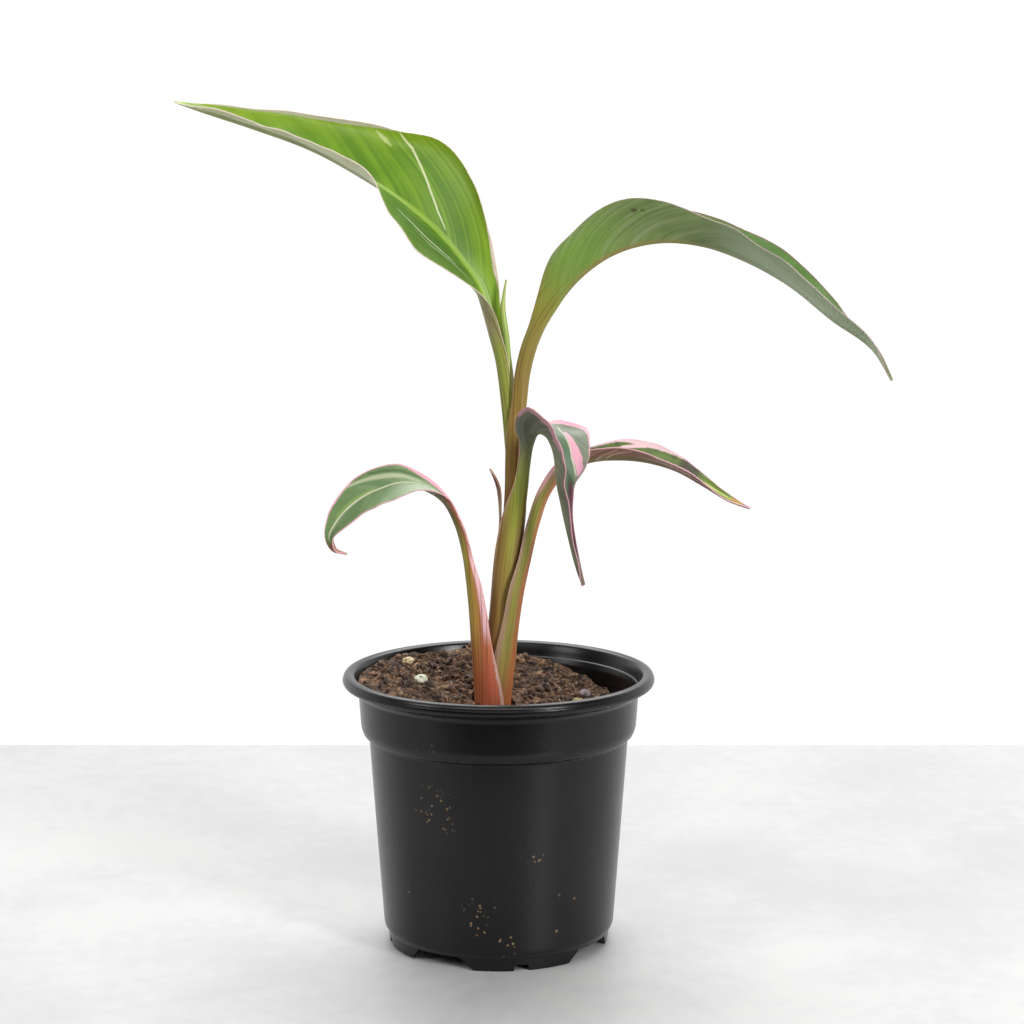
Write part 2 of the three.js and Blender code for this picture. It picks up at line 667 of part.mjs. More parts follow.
// The block of soil: it fills the pot, follows its wall at a small clearance, has crumbs raised
// from its surface and one plain hole in which the plant stands
function soilGeometry() {
  const axis = stemAxisAt(SOIL_MID);
  const foot = stemAxisAt(STEM_FOOT);
  const holeFloor = STEM_FOOT - CORM_HEIGHT - CLEARANCE;
  const points = [];
  const triangles = [];
  const wallRadius = (height) => {
    let i = 0;
    while (i < INSIDE.length - 2 && height > INSIDE[i + 1][1]) i++;
    const t = (height - INSIDE[i][1]) / (INSIDE[i + 1][1] - INSIDE[i][1]);
    return INSIDE[i][0] + t * (INSIDE[i + 1][0] - INSIDE[i][0]) - CLEARANCE;
  };

  // One column of points for each direction: up the hole, over the surface and down to the base
  const spots = [];
  for (let i = 0; i < POT_SEGMENTS; i++) {
    const turn = 2 * Math.PI * i / POT_SEGMENTS;
    const dx = Math.sin(turn);
    const dy = -Math.cos(turn);
    const column = [];
    column.push([foot + HOLE_RADIUS * dx, HOLE_RADIUS * dy, holeFloor]);
    column.push([foot + HOLE_RADIUS * dx, HOLE_RADIUS * dy, STEM_FOOT]);
    const rim = soilHeight(COLLAR_RADIUS * dx, COLLAR_RADIUS * dy);
    const edge = wallRadius(rim);
    for (let r = 0; r <= SOIL_RINGS; r++) {
      const t = r / SOIL_RINGS;
      const x = (axis + HOLE_RADIUS * dx) * (1 - t) + edge * dx * t;
      const y = HOLE_RADIUS * dy * (1 - t) + edge * dy * t;
      const inner = r > 0 && r < SOIL_RINGS;
      const crumb = inner ? CRUMB * (2 * randomAt(i, r, 3) - 1) : 0;
      column.push([x, y, (r === SOIL_RINGS ? rim : soilHeight(x, y)) + crumb]);
    }
    const steps = [Math.min(rim - 1, COLLAR_HIGH), COLLAR_LOW + 1.2, COLLAR_LOW - 1.2];
    for (const height of [...steps, FLOOR_TOP + 1.5]) {
      column.push([wallRadius(height) * dx, wallRadius(height) * dy, height]);
    }
    const base = wallRadius(FLOOR_TOP) - 0.4;
    column.push([base * dx, base * dy, FLOOR_TOP + CLEARANCE]);
    const plate = DISH_EDGE;
    column.push([plate * dx, plate * dy, FLOOR_TOP + CLEARANCE]);
    const dish = DISH_RADIUS - 0.2;
    column.push([dish * dx, dish * dy, DISH_HEIGHT + WALL + CLEARANCE]);
    spots.push(column);
  }
  const rows = spots[0].length;
  for (const column of spots) points.push(...column);
  const top = points.length;
  points.push([foot, 0, holeFloor]);
  const bottom = points.length;
  points.push([0, 0, DISH_HEIGHT + WALL + CLEARANCE]);
  for (let i = 0; i < POT_SEGMENTS; i++) {
    const a = i * rows;
    const b = ((i + 1) % POT_SEGMENTS) * rows;
    triangles.push([top, a, b]);
    for (let r = 0; r < rows - 1; r++) {
      triangles.push([a + r, a + r + 1, b + r + 1], [a + r, b + r + 1, b + r]);
    }
    triangles.push([bottom, b + rows - 1, a + rows - 1]);
  }
  return closedGeometry(points, triangles);
}

// A small rough stone, made from a ball with its corners moved in and out
function stoneGeometry(lump, size, seed) {
  const geometry = mergeVertices(stripped(new THREE.IcosahedronGeometry(size, 1)), 1e-4);
  const position = geometry.attributes.position;
  for (let i = 0; i < position.count; i++) {
    const scale = 0.85 + 0.3 * randomAt(i, seed, 5);
    position.setXYZ(
      i,
      position.getX(i) * scale * 1.15,
      position.getY(i) * scale,
      position.getZ(i) * scale * 0.75,
    );
  }
  geometry.translate(lump.x, lump.y, soilHeight(lump.x, lump.y) + 0.35 * lump.size);
  geometry.computeVertexNormals();
  return geometry;
}

function stripped(geometry) {
  geometry.deleteAttribute('normal');
  geometry.deleteAttribute('uv');
  return geometry;
}

// The rootstock: a low bulb, flat where the sheaths stand on it
function cormGeometry() {
  const top = STEM_FOOT - 3 * CLEARANCE;
  const base = STEM_FOOT - CORM_HEIGHT;
  const profile = [
    [0, base],
    [CORM_RADIUS * 0.55, base],
    [CORM_RADIUS * 0.9, top - CORM_HEIGHT * 0.7],
    [CORM_RADIUS, top - CORM_HEIGHT * 0.35],
    [CORM_RADIUS * 0.95, top],
    [0, top],
  ];
  const geometry = revolve(profile, 16);
  geometry.translate(stemAxisAt(STEM_FOOT), 0, 0);
  return geometry;
}

const plant = new THREE.Group();

function addPiece(name, geometry, look) {
  const material = new THREE.MeshStandardMaterial(look);
  const mesh = new THREE.Mesh(geometry, material);
  mesh.name = name;
  plant.add(mesh);
}

addPiece('pot', potGeometry(), { color: 0x1d1c1e, roughness: 0.42, metalness: 0 });

let soil = toManifold(soilGeometry());
LUMPS.forEach((lump, i) => {
  const pocket = stoneGeometry(lump, lump.size + CLEARANCE / 0.7, i);
  soil = soil.subtract(toManifold(pocket));
});
addPiece('soil', fromManifold(soil), { color: 0x4a3426, roughness: 0.95, metalness: 0 });
LUMPS.forEach((lump, i) => {
  addPiece(lump.name, stoneGeometry(lump, lump.size, i), { color: lump.colour, roughness: 0.9 });
});

addPiece('corm', cormGeometry(), { color: 0x7a5a3a, roughness: 0.8, metalness: 0 });
addPiece('new_leaf_roll', rollGeometry(), { color: 0x8fb24a, roughness: 0.5, metalness: 0 });
for (const leaf of [...LEAVES, OLD_SHEATH]) {
  addPiece(leaf.name, leafGeometry(leaf), { color: leaf.colour, roughness: 0.5, metalness: 0 });
}

// The whole stands with the middle of its bounding box over the origin
const box = new THREE.Box3().setFromObject(plant);
const middle = box.getCenter(new THREE.Vector3());
plant.position.set(-middle.x, -middle.y, -box.min.z);

const group = new THREE.Group();
group.add(plant);

export default group;
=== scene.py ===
# A young pink variegated banana in a plastic nursery pot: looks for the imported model.
# Sizes in this script are in millimetres and are turned into metres where a mesh is made.
# The plant's rows repeat those of the model's source, in the pot's own frame: the pot's axis
# is x = 0, y = 0, the ground is z = 0, the viewer looks along +y and z is up.
# Colours are display values, 0 to 255.

import math
import random

import bmesh
import bpy
from mathutils import Matrix, Vector, noise


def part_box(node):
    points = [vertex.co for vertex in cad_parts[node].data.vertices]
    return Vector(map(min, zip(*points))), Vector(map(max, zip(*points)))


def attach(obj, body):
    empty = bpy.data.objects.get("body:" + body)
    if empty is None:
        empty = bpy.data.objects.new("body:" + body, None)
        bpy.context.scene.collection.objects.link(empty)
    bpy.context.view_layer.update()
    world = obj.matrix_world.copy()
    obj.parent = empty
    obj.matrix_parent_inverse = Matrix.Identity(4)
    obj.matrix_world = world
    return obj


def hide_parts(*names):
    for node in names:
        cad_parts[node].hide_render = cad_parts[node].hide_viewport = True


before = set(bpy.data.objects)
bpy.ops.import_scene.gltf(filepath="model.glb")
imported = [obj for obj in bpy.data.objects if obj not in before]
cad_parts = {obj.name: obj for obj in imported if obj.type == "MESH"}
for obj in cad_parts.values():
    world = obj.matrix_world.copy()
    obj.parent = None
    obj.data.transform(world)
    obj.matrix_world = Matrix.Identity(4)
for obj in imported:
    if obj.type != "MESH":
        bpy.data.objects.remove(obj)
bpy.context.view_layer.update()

# The pot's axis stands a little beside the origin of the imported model
POT_LOW, POT_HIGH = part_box("pot")
AXIS_X = (POT_LOW[0] + POT_HIGH[0]) / 2
MM = 0.001

# Driving dimensions of the pot
RIM_RADIUS = 60.3
RIM_HEIGHT = 107.0
BODY_TOP_RADIUS = 50.3
BODY_FOOT_RADIUS = 44.8
LIP_WIDTH = 4.4
LIP_LOW = 102.0
COLLAR_RADIUS = 54.2
COLLAR_LOW = 82.8
COLLAR_HIGH = 99.0
COLLAR_TAPER = 0.9
WALL = 1.2
FOOT_RADIUS = 42.6
FOOT_HEIGHT = 6.8
FOOT_THICKNESS = 3.0
FLOOR_TOP = 8.4
DISH_RADIUS = 29.0
DISH_EDGE = 32.5
DISH_HEIGHT = 3.6
POT_SIDES = 216

# Notches in the foot ring, a wide one and a low one, repeat round it: direction from the front
# in degrees, width at the ground, width at the top, and height
NOTCH_REPEATS = 4
NOTCHES = [(-32, 28.5, 18.5, 5), (12, 6.2, 5, 2.6)]

# Drain holes in the pot's floor: radius of their ring, and their own radius
DRAIN_RING = 36.0
DRAIN_RADIUS = 2.7
DRAIN_COUNT = 8
MIDDLE_DRAIN = 3.4
DRAIN_SIDES = 28

# Driving dimensions of the soil, and how finely it is cut
CLEARANCE = 0.35
SOIL_MID = 94.8
SOIL_SLOPE = 0.27
SOIL_UPHILL = (-0.7, 0.71)
SOIL_RISE = 11.0
SOIL_FALL = 5.0
SOIL_HOLE = 8.7
STEM_FOOT = 64.0
CORM_HEIGHT = 13.0
SOIL_SIDES = 220
SOIL_RINGS = 62

# Relief of the soil, its clods and then its crumbs: their size, where their pattern starts, its
# falloff, step and number of octaves, and its height
SOIL_RELIEF = [(8.5, (0, 0, 0), 0.9, 2.1, 3, 1.5), (2.6, (31, 7, 4), 0.8, 2.2, 4, 0.75)]

# Loose crumbs: how many, half the square they are drawn in, their smallest size, the range of
# their sizes and how rare the large ones are, their reach as a multiple of their size, their
# gap to the wall, and the size from which they have more faces
CRUMB_COUNT = 3000
CRUMB_SPREAD = 54
CRUMB_SIZES = (0.35, 1.5, 3.2)
CRUMB_REACH = 1.25
CRUMB_WALL_GAP = 0.2
LARGE_CRUMB = 1.0

# Fibres: how many, half the square they are drawn in, their steps and sides, and their gaps to
# the stem and the wall. A turn in any direction is a little short of a whole one
FIBRE_COUNT = 620
FIBRE_SPREAD = 50
FIBRE_STEPS = 8
FIBRE_SIDES = 4
FIBRE_STEM_GAP = 0.6
FIBRE_WALL_GAP = 0.8
ANY_TURN = 6.28

# Relief of the lumps: its steps for each radius, its shift for each lump, and its height
LUMP_RELIEF = [(1.6, 3.1, 0.16), (4.2, 3.1, 0.09), (11, 0, 0.04)]

# The pseudostem's axis, which leans a little to the right: height and x
STEM_AXIS = [(50, -4.6), (70, -4.0), (92, -2.2), (131, 1.8), (170, 5.2), (200, 6.2), (220, 6.4)]

# A leaf's thinnest edge, its columns from midrib to margin on each half, where its margin starts
# to curl, and the spacing of its rings
LEAF_EDGE = 0.4
SECTION_STEPS = 80
COLUMN_PLACES = [*range(0, 60, 6), *range(60, 81, 2)]
LEAF_COLUMNS = len(COLUMN_PLACES) - 1
CURL_FROM = 0.7
SHEATH_RING = 2.6
BLADE_RING = 1.15

# A leaf's blade begins over a stretch, its midrib thins out over a multiple of its thickness,
# and its lateral veins run forward as they leave the midrib
BLADE_START = 20
RIB_SPREAD = 2.2
VEIN_LEAD = 1.4
VEIN_BEND = 0.02

# Fine unevenness of a blade: its length along the leaf, how often it repeats across, where its
# pattern starts for each half and each leaf, and its height. Waves and ripples are full where
# the blade's half is wider than a limit, and the right half's waves run behind the left one's
RIPPLES = [(9, 2.2, 7, 0, 0.32), (3.4, 3.1, 9, 5, 0.1)]
FULL_RIPPLE = 9
FULL_WAVE = 8
WAVE_LAG = 0.37


def clamp01(value):
    return min(1.0, max(0.0, value))


def smooth_step(value):
    t = clamp01(value)
    return t * t * (3 - 2 * t)


def mixed(first, second, share):
    return first + (second - first) * share


def read_line(rows, place, key, value):
    """The value of the rows at a place, on straight lines through them and beyond their ends."""
    i = 0
    while i < len(rows) - 2 and place > rows[i + 1][key]:
        i += 1
    low, high = rows[i], rows[i + 1]
    return mixed(low[value], high[value], (place - low[key]) / (high[key] - low[key]))


def read_table(table, along, default):
    """A value between the pairs (distance along, value) of a table; constant beyond its ends."""
    if not table:
        return default
    if along <= table[0][0]:
        return table[0][1]
    for (low, first), (high, second) in zip(table, table[1:]):
        if along < high:
            return mixed(first, second, smooth_step((along - low) / (high - low)))
    return table[-1][1]


class RowCurve:
    """A smooth curve through rows of numbers, read at a distance along it.

    The first three numbers of each row are a point in space.
    """

    def __init__(self, rows):
        self.rows = rows
        self.knots = [0.0]
        for before, after in zip(rows, rows[1:]):
            self.knots.append(self.knots[-1] + math.dist(before[:3], after[:3]))
        self.length = self.knots[-1]

    def slope(self, i, k):
        rows, knots = self.rows, self.knots
        a = max(0, i - 1)
        b = min(len(rows) - 1, i + 1)
        if a == i or b == i:
            return (rows[b][k] - rows[a][k]) / (knots[b] - knots[a])
        before = (rows[i][k] - rows[a][k]) / (knots[i] - knots[a])
        after = (rows[b][k] - rows[i][k]) / (knots[b] - knots[i])
        weight = (knots[i] - knots[a]) / (knots[b] - knots[a])
        return before * (1 - weight) + after * weight

    def at(self, along):
        rows, knots = self.rows, self.knots
        x = min(max(along, 0.0), self.length)
        i = 0
        while i < len(rows) - 2 and x > knots[i + 1]:
            i += 1
        span = knots[i + 1] - knots[i]
        t = (x - knots[i]) / span
        h00 = (1 + 2 * t) * (1 - t) * (1 - t)
        h10 = t * (1 - t) * (1 - t) * span
        h01 = t * t * (3 - 2 * t)
        h11 = t * t * (t - 1) * span
        return [h00 * value + h10 * self.slope(i, k) + h01 * rows[i + 1][k]
                + h11 * self.slope(i + 1, k) for k, value in enumerate(rows[i])]


def stem_axis_at(height):
    return read_line(STEM_AXIS, height, 0, 1)


def sheath_rows(heading, radius, bands, thickness):
    """Rows of a sheath that wraps the stem at a radius, on the side of its heading."""
    turn = math.radians(heading)
    rows = []
    for height, wrap in bands:
        x = stem_axis_at(height) + radius * math.cos(turn)
        half = math.radians(wrap) * radius
        rows.append([x, radius * math.sin(turn), height, half, 0, wrap, 0, thickness])
    return rows


# Each row of a leaf: x, y, z of the midrib's upper face, half width, fold at the midrib, wrap
# at the margin, roll about the midrib and midrib thickness (angles in degrees).
# heading is the direction in plan that the leaf grows towards. From the base looking along
# the leaf, its left half is that with left_share, and its right half that with right_share.
# The last of them is what is left of an old leaf's sheath.
LEAVES = [{
    "name": "leaf_upper_left", "heading": 142, "blade_from": 200, "wave": 0.5, "wave_length": 31,
    "left_share": [(120, 1), (150, 1.35), (178, 1.25), (196, 0.95), (262, 0.86),
                   (274, 0.64), (285, 0.4), (294, 0.42), (304, 0.62)],
    "left_turn": [(214, 0), (232, 7), (247, 12), (264, 5), (285, 0)],
    "left_wrap": [(120, 0), (150, 75), (178, 60), (198, 0)],
    "right_share": [(170, 1), (190, 0.8), (206, 0.9), (222, 1.06), (240, 1.16),
                    (258, 1.0), (290, 0.84), (310, 0.7)],
    "right_curl": [(200, 0), (220, 40), (315, 40), (330, 0)],
    "rows": [
        *sheath_rows(142, 1.3, [[STEM_FOOT, 165], [100, 165], [140, 160], [175, 140]], 0.9),
        [3.7, 1.1, 198, 3.1, 0, 90, 0, 1.4],
        [2.9, 1.4, 211, 3.7, 0, 95, 0, 1.8],
        [2.2, 1.8, 219, 4.0, 0, 95, 0, 2.0],
        [0.8, 2.4, 228, 4.2, 5, 85, 0, 2.0],
        [-1.6, 3.2, 237, 4.6, 8, 80, 0, 2.0],
        [-4.0, 4.2, 246, 6.2, 10, 70, -8, 2.0],
        [-7.0, 5.2, 255, 9.6, 12, 58, -16, 1.9],
        [-13.5, 6.5, 265, 15.2, 12, 45, -24, 1.8],
        [-22.5, 8.5, 275.5, 21.0, 12, 36, -28, 1.7],
        [-35.0, 11, 286, 25.5, 14, 34, -20, 1.6],
        [-49.0, 13.5, 295.0, 25.0, 18, 38, -8, 1.5],
        [-70.0, 17, 306.4, 18.5, 24, 44, -3, 1.3],
        [-95.0, 20, 315.4, 12.0, 28, 42, 0, 1.1],
        [-113.0, 22.5, 321.0, 6.0, 28, 38, 0, 0.9],
        [-124.0, 24, 324.6, 0.9, 10, 20, 0, 0.7],
    ],
}, {
    "name": "leaf_upper_right", "heading": -35, "blade_from": 200, "wave": 0.5, "wave_length": 37,
    "left_share": [(200, 1), (220, 0.94), (240, 0.82), (262, 0.84), (284, 1.12),
                   (306, 1.05), (324, 0.6)],
    "right_share": [(202, 1), (213, 0.9), (236, 1.12), (254, 1.04), (271, 1.62),
                    (290, 2.05), (308, 2.35), (324, 2.0)],
    "rows": [
        *sheath_rows(-35, 2.9, [[STEM_FOOT, 150], [100, 150], [140, 145], [175, 125]], 0.8),
        [8.7, -1.8, 200, 6.0, 0, 99, 0, 1.1],
        [9.2, -2.0, 211, 4.6, 0, 88, 0, 1.5],
        [10.2, -2.3, 223, 4.2, 0, 88, 0, 1.9],
        [12.2, -3.0, 231.7, 4.2, 0, 95, 0, 2.0],
        [15.2, -4.3, 239.5, 4.4, 10, 85, 0, 2.0],
        [20.4, -6.6, 248.5, 7.2, 22, 75, 0, 2.0],
        [29.4, -10.6, 260.0, 13.2, 34, 68, 0, 1.8],
        [42.6, -15.2, 269.8, 18.0, 42, 66, 0, 1.7],
        [61.5, -21, 274.6, 17.2, 44, 62, 0, 1.5],
        [76.0, -25, 273.2, 14.4, 42, 56, 2, 1.4],
        [90.5, -29, 268.0, 11.4, 38, 50, 3, 1.2],
        [106.5, -33, 259.1, 8.6, 34, 46, 3, 1.0],
        [122.3, -36.5, 246.5, 5.8, 34, 46, 0, 0.9],
        [137.5, -39.5, 235.2, 3.0, 30, 40, 0, 0.8],
        [144.2, -40.5, 224.5, 0.8, 10, 20, 0, 0.7],
    ],
}, {
    "name": "leaf_front_drooping", "heading": -52, "blade_from": 132, "wave": 0.8, "wave_length": 23,
    "left_share": [(132, 1), (141, 1.25), (149, 1.6), (158, 1.3), (168, 1.25), (184, 0.95)],
    "right_share": [(134, 1), (145, 1.03), (149, 0.62), (154, 0.34), (159, 0.38),
                    (167, 0.75), (177, 1.1), (190, 1)],
    "rows": [
        *sheath_rows(-52, 4.8, [[STEM_FOOT, 140], [100, 135], [130, 125], [155, 114]], 0.9),
        [8.6, -4.2, 170, 7.0, 0, 95, 0, 1.3],
        [9.4, -5.2, 180, 3.9, 0, 90, 0, 1.7],
        [10.2, -7.0, 189, 2.4, 0, 85, 0, 1.8],
        [11.4, -9.6, 196.6, 3.6, 5, 66, -2, 1.8],
        [13.2, -12.6, 201.2, 8.0, 14, 52, -10, 1.7],
        [15.8, -16.6, 202.9, 10.8, 18, 44, -26, 1.6],
        [18.8, -20.4, 201.8, 12.2, 24, 46, -34, 1.5],
        [21.2, -22.9, 197.2, 12.0, 34, 52, -36, 1.4],
        [22.4, -24.4, 190.2, 9.0, 46, 62, -32, 1.3],
        [22.8, -24.8, 183.6, 5.2, 54, 70, -26, 1.2],
        [24.0, -24.4, 177, 3.8, 60, 74, -22, 1.1],
        [26.9, -24.2, 163, 2.3, 60, 70, -20, 0.9],
        [30.0, -23.2, 151, 1.5, 50, 60, -20, 0.8],
        [32.2, -22.6, 144.8, 0.8, 10, 20, 0, 0.7],
    ],
}, {
    "name": "leaf_right", "heading": -12, "blade_from": 125, "wave": 0.4, "wave_length": 26,
    "left_share": [(110, 1), (126, 0.7), (138, 0.7), (150, 0.88), (160, 0.8), (168, 0.7),
                   (178, 0.6), (188, 0.5), (197, 0.7)],
    "rows": [
        *sheath_rows(-12, 6.0, [[STEM_FOOT, 120], [90, 110], [112, 95], [126, 78]], 0.9),
        [8.8, -1.9, 140, 7.6, 0, 60, 0, 1.4],
        [10.9, -2.5, 151, 5.4, 0, 62, 0, 1.6],
        [14.1, -3.4, 165, 4.6, 0, 88, 0, 1.6],
        [19.0, -4.6, 178.5, 4.8, 5, 84, 0, 1.6],
        [25.6, -6.0, 187, 5.6, 15, 72, 0, 1.7],
        [34.0, -8.0, 190.6, 7.4, 28, 58, 6, 1.6],
        [45.0, -10.4, 191.9, 8.8, 34, 54, 12, 1.5],
        [56.0, -12.4, 191.0, 9.2, 34, 50, 16, 1.3],
        [67.0, -14.2, 187.8, 8.2, 34, 48, 20, 1.1],
        [78.0, -15.8, 181.9, 5.8, 32, 44, 22, 1.0],
        [88.0, -17.0, 176.0, 3.0, 26, 38, 20, 0.8],
        [95.0, -17.6, 173.6, 0.8, 10, 20, 0, 0.7],
    ],
}, {
    "name": "leaf_lower_left", "heading": -152, "blade_from": 118, "wave": 0.3, "wave_length": 27,
    "left_share": [(76, 1), (90, 0.55), (104, 0.5), (118, 1.3), (130, 1.2), (142, 1.1),
                   (152, 0.9)],
    "left_wrap": [(104, 0), (113, -35), (124, -15), (134, 0)],
    "right_share": [(105, 1), (115, 0.75), (124, 0.8), (134, 1), (145, 1), (156, 0.88)],
    "rows": [
        *sheath_rows(-152, 7.2, [[STEM_FOOT, 110], [80, 105], [95, 95]], 0.9),
        [-8.4, -4.0, 106, 10.0, 0, 82, 0, 1.2],
        [-9.0, -4.6, 118, 7.6, 0, 80, 0, 1.5],
        [-9.6, -5.0, 131, 6.0, 0, 80, 0, 1.7],
        [-10.6, -5.2, 143, 4.5, 0, 80, 0, 1.8],
        [-12.4, -5.0, 155, 3.8, 0, 80, 0, 1.7],
        [-15.6, -4.2, 166, 3.4, 0, 80, 0, 1.6],
        [-20.4, -3.0, 174.4, 4.0, 5, 65, -15, 1.6],
        [-27.6, -1.2, 178.8, 6.0, 6, 45, -30, 1.5],
        [-36.0, 0.6, 180.2, 8.2, 6, 28, -36, 1.4],
        [-45.0, 2.0, 178.2, 8.6, 6, 26, -36, 1.2],
        [-54.0, 2.4, 173.0, 8.0, 8, 28, -36, 1.1],
        [-61.2, 1.6, 165.2, 6.0, 12, 34, -34, 1.0],
        [-64.2, 0.4, 158.6, 3.0, 20, 40, -20, 0.8],
        [-62.6, -1.2, 154.6, 2.0, 20, 40, 0, 0.8],
        [-58.4, -2.4, 153.0, 0.9, 10, 30, 0, 0.7],
    ],
}, {
    "name": "old_sheath_stub", "heading": 180, "blade_from": 500, "wave": 0, "wave_length": 30,
    "rows": [
        *sheath_rows(180, 3.95, [[STEM_FOOT, 100], [100, 90], [140, 55], [158, 28]], 0.6),
        [0.8, 0, 167, 1.7, 0, 24, 0, 0.6],
        [0.5, 0, 174, 2.4, 0, 40, 0, 0.7],
        [0.1, 0, 178, 2.1, 0, 50, 0, 0.8],
        [-1.1, 0, 182, 1.4, 0, 50, 0, 0.8],
        [-3.0, 0, 186, 0.5, 0, 20, 0, 0.6],
    ],
}]


def leaf_stations(leaf, curve):
    """Distances of the rings along a leaf: close together on the blade."""
    stations = []
    along = 0.0
    while along < curve.length - 0.5:
        stations.append(along)
        along += SHEATH_RING if along < leaf["blade_from"] - 2 * BLADE_START else BLADE_RING
    return [*stations, curve.length]


def half_section(width, fold, wrap, curl):
    """Sideways place, rise and angle at each column of one half, from midrib to margin."""
    places = []
    side = rise = 0.0
    for i in range(SECTION_STEPS + 1):
        u = i / SECTION_STEPS
        angle = fold + (wrap - fold) * u + curl * smooth_step((u - CURL_FROM) / (1 - CURL_FROM))
        if i in COLUMN_PLACES:
            places.append((side, rise, angle))
        side += math.cos(angle) * width / SECTION_STEPS
        rise += math.sin(angle) * width / SECTION_STEPS
    return places


def half_at(leaf, name, along, half, fold, wrap):
    """Width and section of a leaf's left or right half at a distance along it."""

    def read(kind, default):
        return read_table(leaf.get(f"{name}_{kind}"), along, default)

    width = half * read("share", 1)
    turn = read("turn", 0)
    low = math.radians(fold + turn)
    high = math.radians(wrap + turn + read("wrap", 0))
    return width, half_section(width, low, high, math.radians(read("curl", 0)))


def ripple(leaf, along, u, sign):
    """Fine unevenness of the blade, in millimetres."""
    lift = 0
    for length, repeats, shift, seed, height in RIPPLES:
        spot = (along / length, u * repeats + shift * sign, leaf["heading"] * 0.37 + seed)
        lift += height * noise.noise(Vector(spot))
    return lift


def leaf_loft(leaf):
    """Points, faces and paint coordinates of a leaf as one closed solid.

    The paint coordinates of a point are its place (along, across and vein, in millimetres)
    and its edge (distance to the margin in millimetres, face, and share across).
    """
    curve = RowCurve(leaf["rows"])
    heading = math.radians(leaf["heading"])
    across = Vector((math.sin(heading), -math.cos(heading), 0))
    nudge = 0.002 * curve.length
    stations = leaf_stations(leaf, curve)
    corners = []
    for along in stations:
        x, y, z, half, fold, wrap, roll, rib = curve.at(along)
        ahead = Vector(curve.at(along + nudge)[:3])
        behind = Vector(curve.at(along - nudge)[:3])
        forward = (ahead - behind).normalized()
        face = across.cross(forward).normalized()
        face.rotate(Matrix.Rotation(math.radians(roll), 3, forward))
        side = forward.cross(face)
        blade = clamp01((along - leaf["blade_from"]) / BLADE_START)
        halves = {sign: half_at(leaf, name, along, half, fold, wrap)
                  for sign, name in ((-1, "left"), (1, "right"))}
        upper, lower = [], []
        for column in range(-LEAF_COLUMNS, LEAF_COLUMNS + 1):
            sign = -1 if column < 0 else 1
            width, section = halves[sign]
            out, rise, angle = section[abs(column)]
            u = COLUMN_PLACES[abs(column)] / SECTION_STEPS
            tilt = angle if column else 0
            normal = face * math.cos(tilt) - side * (sign * math.sin(tilt))
            phase = along / leaf["wave_length"] + (0 if sign < 0 else WAVE_LAG)
            lift = leaf["wave"] * blade * u * u * math.sin(2 * math.pi * phase)
            lift *= clamp01(half / FULL_WAVE)
            lift += blade * clamp01(half / FULL_RIPPLE) * u * ripple(leaf, along, u, sign)
            lateral = u * width
            near_rib = 1 - smooth_step(lateral / (RIB_SPREAD * rib))
            thickness = LEAF_EDGE + (rib - LEAF_EDGE) * near_rib
            top = Vector((x, y, z)) + side * (sign * out) + face * rise + normal * lift
            lead = VEIN_LEAD * lateral + VEIN_BEND * lateral * lateral
            place = (along, sign * lateral, along - lead)
            upper.append((top, place, (width - lateral, 1, sign * u)))
            lower.append((top - normal * thickness, place, (width - lateral, -1, sign * u)))
        corners += upper + lower
    points, places, edges = zip(*corners)
    return points, leaf_faces(len(stations), 2 * LEAF_COLUMNS + 1), places, edges


def leaf_faces(rings, columns):
    """Faces of a leaf whose rings have the points of its upper side and then of its lower."""
    faces = []
    ring = columns * 2
    for r in range(rings - 1):
        a, b = r * ring, (r + 1) * ring
        for c in range(columns - 1):
            faces.append((a + c, a + c + 1, b + c + 1, b + c))
            low_a, low_b = a + columns + c, b + columns + c
            faces.append((low_a, low_b, low_b + 1, low_a + 1))
        faces.append((a + columns, a, b, b + columns))
        faces.append((a + columns - 1, a + ring - 1, b + ring - 1, b + columns - 1))
    end = (rings - 1) * ring
    for c in range(columns - 1):
        faces.append((columns + c, columns + c + 1, c + 1, c))
        faces.append((end + c, end + c + 1, end + columns + c + 1, end + columns + c))
    return faces


def tube_faces(rings, sides, start=0):
    """Faces of a closed tube of rings of points; start is the number of its first point."""
    faces = []
    for r in range(rings - 1):
        for k in range(sides):
            a = start + r * sides + k
            b = start + r * sides + (k + 1) % sides
            faces.append((a, b, b + sides, a + sides))
    last = start + (rings - 1) * sides
    faces.append(tuple(start + k for k in reversed(range(sides))))
    faces.append(tuple(last + k for k in range(sides)))
    return faces


def turned(columns, first, last):
    """Points and faces of columns of points set round an axis, closed by a point at each end."""
    sides, rows = len(columns), len(columns[0])
    points = [point for column in columns for point in column] + [first, last]
    end = sides * rows
    faces = []
    for i in range(sides):
        a, b = i * rows, ((i + 1) % sides) * rows
        for r in range(rows - 1):
            faces.append((a + r, b + r, b + r + 1, a + r + 1))
        faces.append((end, b, a))
        faces.append((end + 1, a + rows - 1, b + rows - 1))
    return points, faces


def circle(sides, radius=1):
    """Points of a circle about the origin."""
    turns = [2 * math.pi * i / sides for i in range(sides)]
    return [(radius * math.cos(turn), radius * math.sin(turn)) for turn in turns]


def placed(name, data):
    """A new object in the scene."""
    made = bpy.data.objects.new(name, data)
    bpy.context.scene.collection.objects.link(made)
    return made


